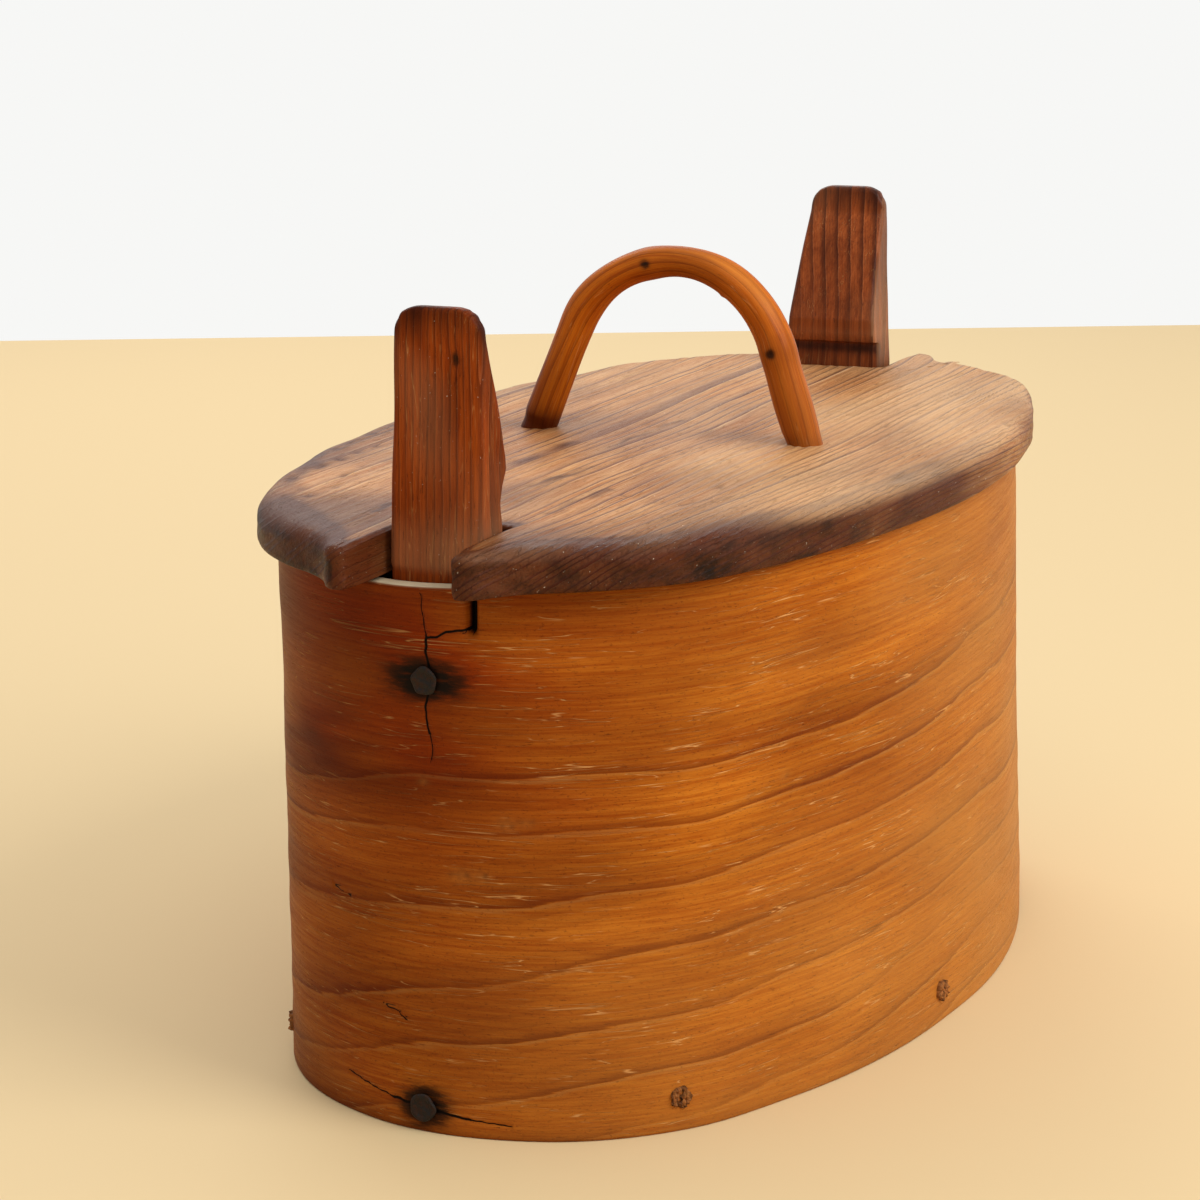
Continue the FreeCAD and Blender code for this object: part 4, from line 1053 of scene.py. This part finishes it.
def core_of(points):
    """Where each point of the outline is joined: once round a long oval inside it that clears the notches."""
    x, y = points.T
    room, middle = (np.where(x < 0, LID_ENDS["near"][word], LID_ENDS["far"][word])
                    for word in ("room", "middle"))
    off = np.abs(y - middle)
    at_end = (np.abs(x) > CORE_END) | ((np.abs(x) > 112) & (off < 20))
    off = off + 0.03 * np.maximum(np.abs(x) - 114, 0)
    past = np.clip((off - room) / (45 - room), 0, 1)
    side = np.sign(y - middle)
    corner = side * middle + room + 1.2
    across = CORE_WIDE * np.sqrt(1 - (np.minimum(np.abs(x), CORE_END) / CORE_END * CORE_FALL) ** 2.5)
    last = CORE_WIDE * math.sqrt(1 - CORE_FALL ** 2.5)
    end_y = np.where(off < room, middle + (y - middle) * (room + 1.2) / room,
                     side * (corner + past * (last - corner)))
    end_x = np.sign(x) * (100 + 3 * (1 - np.minimum(off / 45, 1) ** 2))
    return np.where(at_end, [end_x, end_y], [x * 0.82, side * across]).T


def edge_loops(inward):
    """Loops up the edge, rounded below and above: where they lie, and how high over the under side."""
    quarter = np.linspace(0, np.pi / 2, 9)
    worn = 1 + 0.18 * waves(83, 40, *outline.T)
    long_way, aside = np.abs(outline[:, 0]), np.abs(outline[:, 1] - NOTCH_MIDDLE)
    at_notch = (long_way > NOTCH_FLOOR) * (aside < 16.2) * ease(144.5 - long_way, 0, 7)
    tip = bump(long_way - HORN_TIP, 6)
    top_round = 1.1 * at_notch + (1 - at_notch) * (4.4 - 2.0 * tip) * worn
    low_round = 0.6 * at_notch + (1 - at_notch) * 1.3 * worn
    spread = (1 + 0.3 * (1 - at_notch) * (1 - tip)) * top_round
    loops = [(low_round * (1 - math.sin(turn)), low_round * (1 - math.cos(turn))) for turn in quarter]
    loops += [(0 * worn, low_round + share * (LID_THICK - top_round - low_round))
              for share in np.linspace(0, 1, EDGE_ROWS)[1:-1]]
    loops += [(spread * (1 - math.cos(turn)), LID_THICK - top_round * (1 - math.sin(turn)))
              for turn in quarter]
    moved, up = np.array(loops).transpose(1, 0, 2)
    return outline + inward * moved[..., None], up


def between(first, last, shares):
    """Loops between two loops, at shares of the way."""
    shares = shares[:, None, None]
    return first * (1 - shares) + last * shares


def lid_loops(inward):
    """Every loop of the lid: where it lies, how high over the under side, and how far in from the edge."""
    core = core_of(outline)
    across_from = -np.arange(len(outline)) % len(outline)
    spine_x = np.clip((core + core[across_from])[:, 0] / 2, -SPINE_END, SPINE_END)
    spine = np.stack([spine_x, 0 * spine_x], axis=1)
    edge, edge_up = edge_loops(inward)
    under = np.concatenate([between(spine, core, np.linspace(0, 1, UNDER_IN)[:-1]),
                            between(core, edge[0], np.linspace(0, 1, UNDER_OUT)[:-1])])
    top = np.concatenate([between(edge[-1], core, np.linspace(0, 1, TOP_OUT)[1:]),
                          between(core, spine, np.linspace(0, 1, TOP_IN)[1:])])
    up = np.concatenate([np.zeros(under.shape[:2]), edge_up, np.full(top.shape[:2], LID_THICK)])
    from_edge = np.concatenate([np.full(under.shape[:2], 9.0), 0 * edge_up, np.hypot(*(top - edge[-1]).T).T])
    return np.concatenate([under, edge, top]), up, from_edge


ALONG = np.roll(outline, -1, axis=0) - np.roll(outline, 1, axis=0)
INWARD = np.stack([-ALONG[:, 1], ALONG[:, 0]], axis=1) / np.hypot(*ALONG.T)[:, None]
PLAN, UP, FROM_EDGE = lid_loops(INWARD)
print("the lid is", len(PLAN), "loops of", len(outline), "points")

# %% [markdown]
# The grain runs lengthwise. Soft wood wears away between the hard lines of the rings, so each ring stands
# up as a fine ridge. Dents, worm holes, a long scratch and red streaks are lists of places, sunk into the
# surface or darkened, and the horns and the edge at the near end are the darkest, where hands have held the
# box. The under side and the lid round the handle's feet are darkened with painted shade.

# %% The wear of the lid
# A dent is a place, a size and a depth; a worm hole also has a height; a streak runs from place to place.
LID_DENTS = [(-84, 60, 2.4, 0.5), (-75, 62, 2.2, 0.45), (-68, 61, 2.4, 0.5), (-57, 62, 2.4, 0.45),
             (-54, 69, 2.2, 0.2), (-46, 69.5, 2.2, 0.2), (-47, 62.5, 2.4, 0.45), (-39, 62, 2.0, 0.4),
             (-38, 70.5, 2.2, 0.2), (-25, 71.5, 2.2, 0.2), (-13, 73, 2.0, 0.2), (-93, 52, 2.2, 0.45),
             (-99, 47, 2.4, 0.5), (-88, 46, 2.0, 0.4), (-76, 51, 2.2, 0.4), (-65, 52, 1.8, 0.3),
             (45, -71, 2.2, 0.4), (-58, -36, 2.0, 0.4), (60, -42, 2.2, 0.3), (12, -30, 1.6, 0.3),
             (90, -20, 1.8, 0.3)]
WORM_HOLES = [(14, -78.3, 8.2, 0.8), (-80, -47, 10, 0.5)]
RED_STREAKS = [(-50, 18.6, -18, 19.4, 2.2), (-71, 4.0, -46, 0.6, 1.8), (-67, 28.5, -50, 28.0, 1.3),
               (-98, -13, -70, -14, 1.6), (-20, 8, 20, 7, 1.0), (-110, 24, -84, 22, 1.4)]
LID_SCRATCH = [(-75.2, -17.4), (-75.6, -24.2), (-79.1, -30.0), (-81.1, -36.0), (-76.2, -37.8), (-71.4, -39.4)]
RING_GROWTH, RING_FIRST = 0.0062, 2.3
LEFT_FOOT, RIGHT_FOOT = 36.5, 34.5


def lid_rings(x, y, depth):
    """The ring count over the lid: closely spaced at the front, wider towards the back."""
    bend = 2.2 * waves(81, 300, x, y * 2) + 0.9 * waves(82, 110, x, y * 3)
    from_front = y + 80 + bend - 1.5 * depth
    spread = (1 - np.exp(-RING_GROWTH * from_front)) / (RING_FIRST * RING_GROWTH)
    return spread + 0.45 * waves(79, 13, from_front)


def lid_marks(x, y, up, on_top):
    """How deep dents, worm holes and the scratch are sunk, how dark they are, and how far the scratch is."""
    sink, dark, holes = 0 * x, 0 * x, 0 * x
    for at_x, at_y, size, deep in LID_DENTS:
        dent = bump(np.hypot((x - at_x) / 1.3, y - at_y), size * 0.62) * on_top
        sink, dark = sink + deep * dent, dark + 0.7 * dent
    for at_x, at_y, at_up, size in WORM_HOLES:
        hole = bump(np.hypot(np.hypot(x - at_x, y - at_y), up - at_up), size)
        sink, holes = sink + 0.8 * hole, np.maximum(holes, hole)
    off_scratch = from_line(x + 0.4 * waves(97, 4, y), y, LID_SCRATCH)
    scratch = bump(off_scratch, 1.2) * on_top * (0.8 + 0.3 * waves(97, 6, y))
    sink, dark = sink + 0.2 * scratch, dark + 0.3 * scratch
    for from_x, from_y, to_x, to_y, wide in RED_STREAKS:
        streak = bump(from_line(x, y + 0.5 * waves(98, 12, x), [(from_x, from_y), (to_x, to_y)]), wide)
        dark = dark + 0.85 * streak * on_top * (0.75 + 0.3 * waves(99, 13, x * 0.6, y * 1.4))
    marks = {"crack": np.maximum(0.8 * holes, 0.36 * scratch), "split": 2.4 * off_scratch * (holes < 0.02)}
    return sink, dark, holes, marks


def lid_shades(x, y, up, on_top, dark, holes):
    """Dirty edges, painted shade under the board and round the handle's feet, dark horns, paler wood and
    grime.
    """
    side = 1 - on_top
    toward_near = ease(-x, -60, 60)
    in_notch = (np.abs(x) > NOTCH_FLOOR) * (np.abs(y - NOTCH_MIDDLE) < 13.8) * side
    horn_end = bump(np.abs(x + HORN_TIP), 5) + 0.5 * bump(np.abs(x - LID_ENDS["far"]["tip"]), 6)
    streaky = 1 + 0.3 * waves(78, 2.2, up + 0.02 * x) * (1 - toward_near)
    # The sides are darker, most towards the near end: dirt on the upright edge, painted shade under the
    # board.
    shade = 0.08 + side * (0.32 + 0.78 * toward_near) * (1 - 0.1 * in_notch) * streaky + 0.5 * horn_end
    front_left = ease(-x, -60, 110) * ease(-y, -10, 40)
    rim = bump(FROM_EDGE, 3.8) * on_top * (1 + 0.3 * waves(96, 14, x, y))
    shade = shade + 0.75 * rim * (0.2 + 0.65 * toward_near + 0.15 * front_left)
    shade = shade + 0.3 * ease(-x, 80, 125) * on_top + 0.2 * waves(89, 38, x * 0.6, y) + dark
    # Painted shade on the lid round the handle's feet.
    from_feet = np.minimum(np.hypot(x * 0.7, y - LEFT_FOOT), np.hypot(x * 0.7, y + RIGHT_FOOT))
    shade = shade + 0.16 * on_top * bump(x + 112, 36) + 0.35 * bump(from_feet, 10)
    shade = shade - 0.25 * ease(x, 20, 110) * on_top
    # The top is paler towards the right and the front.
    glow = 0.25 * ease(x, -40, 90) + 0.18 * waves(90, 30, x * 0.4, y) + 0.5 * ease(-y, -5, 45)
    glow = on_top * np.clip(glow - 0.4 * bump(x + 112, 34), 0, 1)
    grime = 0.36 * side * (1 - in_notch) * (up > 0) * ease(-x, -20, 90)
    grime = grime * (0.8 + 0.5 * waves(77, 12, x, y, up * 2))
    return {"shade": np.clip(shade, 0, 1), "glow": np.clip(glow, 0, 1),
            "stain": np.clip(0.9 * holes + grime, 0, 1)}


# %% The lid
def lid():
    """The lid board as one closed surface of loops from its under side to its top, with its wear sunk in."""
    (x, y), up = PLAN.transpose(2, 0, 1), UP
    on_top = ease(up, LID_THICK - 3.6, LID_THICK - 0.2)
    rings = lid_rings(x, y, LID_THICK - up)
    strength = 0.16 + 0.08 * waves(84, 60, x * 0.5, y) + 0.16 * ease(-y, -10, 50)
    faint = ease(-x, -10, 90) * ease(y, -10, 45) * 0.8
    groove = np.clip(strength * (1 - faint), 0.02, 0.4) * -0.5 * np.cos(2 * np.pi * rings) * on_top
    sunk, dark, holes, marks = lid_marks(x, y, up, on_top)
    sink = 0.3 * ease(up, 3, LID_THICK) + groove + sunk
    sink = sink + on_top * (0.1 * waves(85, 40, x * 0.6, y) + 0.05 * waves(86, 9, x * 0.3, y))
    chips = 0.08 * waves(87, 5, x * 0.5, y * 0.7, up * 1.5) + 0.09 * waves(88, 30, x, y) - 0.36
    chips = np.minimum(chips * (1 - on_top) * ease(up, 0, 0.8), 0)[..., None]
    level = LID_LOW + up - np.clip(sink, 0, 2)
    points = np.concatenate([PLAN - INWARD * chips, level[..., None]], axis=-1)
    fields = {"rings": rings, "grain": np.stack([x, y, up + 0.5 * y], axis=-1),
              "faint": np.clip(faint * on_top, 0, 1), **marks, **lid_shades(x, y, up, on_top, dark, holes)}
    piece = carve("lid_carved", points, fields, LID_WOOD, loop_columns=True)
    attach(piece, "lid")
    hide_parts("lid_board")


LID_WOOD = Wood("lid_wood", (212, 158, 102), (176, 106, 50), (96, 36, 12), ring_dark=1.15, ring_width=0.35,
                fibre=1.2, scratches=0.4, dull=0.42, coat=0.04, relief=0.0004, shine=0.08, halo_dark=0.4,
                dust=0.7, crest=0.8, bleached=(238, 206, 164))
lid()

# %% [markdown]
# The handle is a peeled branch, bent while green and dried in its arch. It is thickest at its feet and
# thinnest at the top, where the bend has drawn it out, and two knots stand out a little where twigs were
# cut off. Its middle line is two straight legs that touch one round bend, and the surface is drawn round
# that line with a radius that changes.

# %% The handle
LID_TOP = LID_LOW + LID_THICK
LEFT_SLOPE, RIGHT_SLOPE = math.radians(25.5), math.radians(16.0)
BEND, BELOW, STICK = 28.2, 13.0, 4.2
STICK_ROWS, STICK_ROUND, END_WEAR = 430, 72, 0.8
KNOTS = [(77, 0.0, 0.9, 3.2), (163, -0.15, 0.8, 3.4)]


def handle_line():
    """The stick's middle line across and up, how far along it each point lies, and where its knots are."""
    left = LEFT_FOOT * math.cos(LEFT_SLOPE) - BEND
    right = RIGHT_FOOT * math.cos(RIGHT_SLOPE) - BEND
    spread = math.sin(LEFT_SLOPE + RIGHT_SLOPE)
    across = (left * math.sin(RIGHT_SLOPE) - right * math.sin(LEFT_SLOPE)) / spread
    up = LID_TOP + (left * math.cos(RIGHT_SLOPE) + right * math.cos(LEFT_SLOPE)) / spread
    turns = np.linspace(LEFT_SLOPE, math.pi - RIGHT_SLOPE, 200)
    bend = np.stack([across + BEND * np.cos(turns), up + BEND * np.sin(turns)], axis=1)
    first = (LEFT_FOOT + BELOW * math.tan(LEFT_SLOPE), LID_TOP - BELOW)
    last = (-RIGHT_FOOT - BELOW * math.tan(RIGHT_SLOPE), LID_TOP - BELOW)
    line = np.vstack([[first], bend, [last]])
    along = np.linspace(0, runs(line)[-1], STICK_ROWS)
    knot_runs = [runs(line)[1] + BEND * (math.radians(turn) - LEFT_SLOPE) for turn, _, _, _ in KNOTS]
    return points_at(along, runs(line), line), along, knot_runs


def stick_radius(line, along):
    """The radius at each row: full at the feet, thinnest at the top, and drawn in to a point at both ends."""
    share = along / along[-1]
    above = ease(line[:, 1], LID_TOP + 0.2, LID_TOP + 3.5)
    radius = STICK + above * (0.45 - 0.75 * ease(share, 0.12, 0.5) + 0.6 * ease(share, 0.62, 0.9))
    radius = radius + above * 0.10 * waves(91, 26, along)
    ends = np.clip(np.minimum(along, along[-1] - along) / END_WEAR, 0, 1)
    radius = radius * np.sqrt(1 - (1 - ends) ** 2 * 0.6)
    return np.concatenate([[0.0, radius[0] * 0.6], radius, [radius[-1] * 0.6, 0.0]]), above


def stick_swell(run, turn, radius, lift, knot_runs):
    """How far the stick swells at knots, lumps and hollows, the knots' dark hearts and the worn stretch."""
    swell = 0.035 * waves(92, 18, run * 0.5, 4 * np.cos(turn), 4 * np.sin(turn)) + 0.02 * np.cos(2 * turn)
    swell, dark = 1 + lift * swell, 0 * run
    for (_, side, proud, size), knot_run in zip(KNOTS, knot_runs):
        gap = np.hypot((run - knot_run) / 1.1, radius * (turn - np.pi - side))
        swell = swell + proud / STICK * (0.35 * bump(gap, size) + 0.2 * bump(run - knot_run, size))
        swell = swell - 0.05 * bump(gap, 1.0)
        dark = np.maximum(dark, bump(gap, 1.15))
    first, second = knot_runs
    inner = np.abs(np.angle(np.exp(1j * (turn - np.pi / 2))))
    swell = swell + lift * 0.28 * bump(run - second + 6, 20) * bump(inner, 1.1)
    swell = swell + 0.07 * bump(run - 0.5 * (first + second), 0.9) * bump(inner, 0.6)
    worn = ease(run, second - 40, second - 18) * ease(second - 4 - run, -0.9, 0.9) * bump(turn - 4.1, 0.42)
    return swell - 0.07 * worn, dark, worn


def handle():
    """The bent stick as one closed tube: circles square to its middle line."""
    line, along, knot_runs = handle_line()
    heading = np.arctan2(np.gradient(line[:, 1]), np.gradient(line[:, 0]))
    radius, above = stick_radius(line, along)
    run, head, lift, across, up = (np.pad(part, 2, "edge")[:, None]
                                   for part in (along, heading, above, *line.T))
    turn = round_turns(STICK_ROUND)
    run, radius = run + 0 * turn, radius[:, None] + 0 * turn
    swell, dark, worn = stick_swell(run, turn, radius, lift, knot_runs)
    sideways, outward = radius * swell * np.cos(turn), radius * swell * np.sin(turn)
    total, second = along[-1], knot_runs[1]
    bulge = -lift * (1.4 * bump(run - 0.3 * total, 18) + 0.7 * bump(run - 0.53 * total, 22))
    x = sideways + 0.45 * lift * waves(93, 45, run)
    y, z = across - (outward + bulge) * np.sin(head), up + (outward + bulge) * np.cos(head)
    # Painted shade where the stick meets the lid, strongest at the left foot; darker along the left leg and
    # at a knot.
    shade = 0.22 * bump(run - (total - 16), 10) + 0.7 * bump(z - LID_TOP - 1, 4.0) * (y > 0)
    shade = shade + 0.3 * bump(z - LID_TOP, 2) + 0.2 * waves(94, 20, run * 0.5, sideways, outward)
    shade = shade + 0.3 * ease(0.45 * total - run, 0, 40) + 0.3 * bump(run - second, 5)
    # Paler on the worn stretch, and near the right foot as painted light.
    glow = 0.7 * worn * ease(second - run, 3, 13) + 0.2 * ease(run, total - 50, total - 25)
    grain = np.stack(np.broadcast_arrays(run, STICK * np.cos(turn), STICK * np.sin(turn)), axis=-1)
    fields = {"rings": (turn * STICK + 0.6 * waves(95, 60, run)) / 2.6, "grain": grain,
              "shade": np.clip(shade, 0, 1), "glow": np.clip(glow, 0, 1), "stain": 0.75 * dark}
    piece = carve("handle_bent", np.stack([x, y, z], axis=-1), fields, STICK_WOOD, loop_columns=True)
    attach(piece, "lid")
    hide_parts("handle")


STICK_WOOD = Wood("stick_wood", (224, 126, 30), (172, 76, 8), (92, 29, 4), ring_dark=0.45, ring_width=0.4,
                  fibre=1.0, scratches=0.25, dull=0.36, coat=0.08, relief=0.00015, pores=0.3, shine=0.05,
                  crest=0.0, bleached=(214, 156, 84))
handle()

# %% [markdown]
# The bottom board and the two wedges under the lid keep the CAD model's own shapes. They only need wood,
# and since they carry no grain of their own, their coordinates come from the object itself, in metres.

# %% Finishes of the CAD pieces


def plain_wood(name, pale, deep, line, spacing):
    """Dull old wood whose grain runs along X, for a piece that carries no fields."""
    finish = Finish(name, Specular_IOR_Level=0.35)
    place = finish.add("ShaderNodeTexCoord").outputs["Object"]
    fibres = finish.streaks(place, 22, 900, 4, 0.6)
    tone = finish.mix(finish.span(fibres, 0.32, 0.68), colour(*deep), colour(*pale))
    across = finish.add("ShaderNodeSeparateXYZ", Vector=place).outputs["Y"]
    bend = finish.times(finish.streaks(place, 5, 30, 2), 3.0)
    ring = finish.math("FRACT", finish.math("MULTIPLY_ADD", across, 1 / (spacing * MM), bend))
    tone = finish.mix(finish.span(ring, 0.0, 0.4, 0.6, 0.0), tone, colour(*line))
    finish.surface(tone, finish.span(fibres, 0.3, 0.7, 0.72, 0.6), fibres, 0.0003)
    return finish


def dress(node, finish):
    """Put a finish in every material slot of a CAD piece."""
    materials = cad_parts[node].data.materials
    for index in range(len(materials)):
        materials[index] = finish.material
    print(node, "wears", finish.material.name)


BOARD_WOOD = plain_wood("board_wood", (150, 104, 64), (118, 76, 44), (70, 42, 24), 4.0)
WEDGE_WOOD = plain_wood("wedge_wood", (140, 92, 54), (104, 62, 34), (56, 32, 18), 1.6)
dress("bottom_board", BOARD_WOOD)
dress("left_handle_wedge", WEDGE_WOOD)
dress("right_handle_wedge", WEDGE_WOOD)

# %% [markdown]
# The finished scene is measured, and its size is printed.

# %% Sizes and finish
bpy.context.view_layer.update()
low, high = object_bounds()
print("the finished scene measures", np.round(np.subtract(high, low) / MM, 1), "mm")
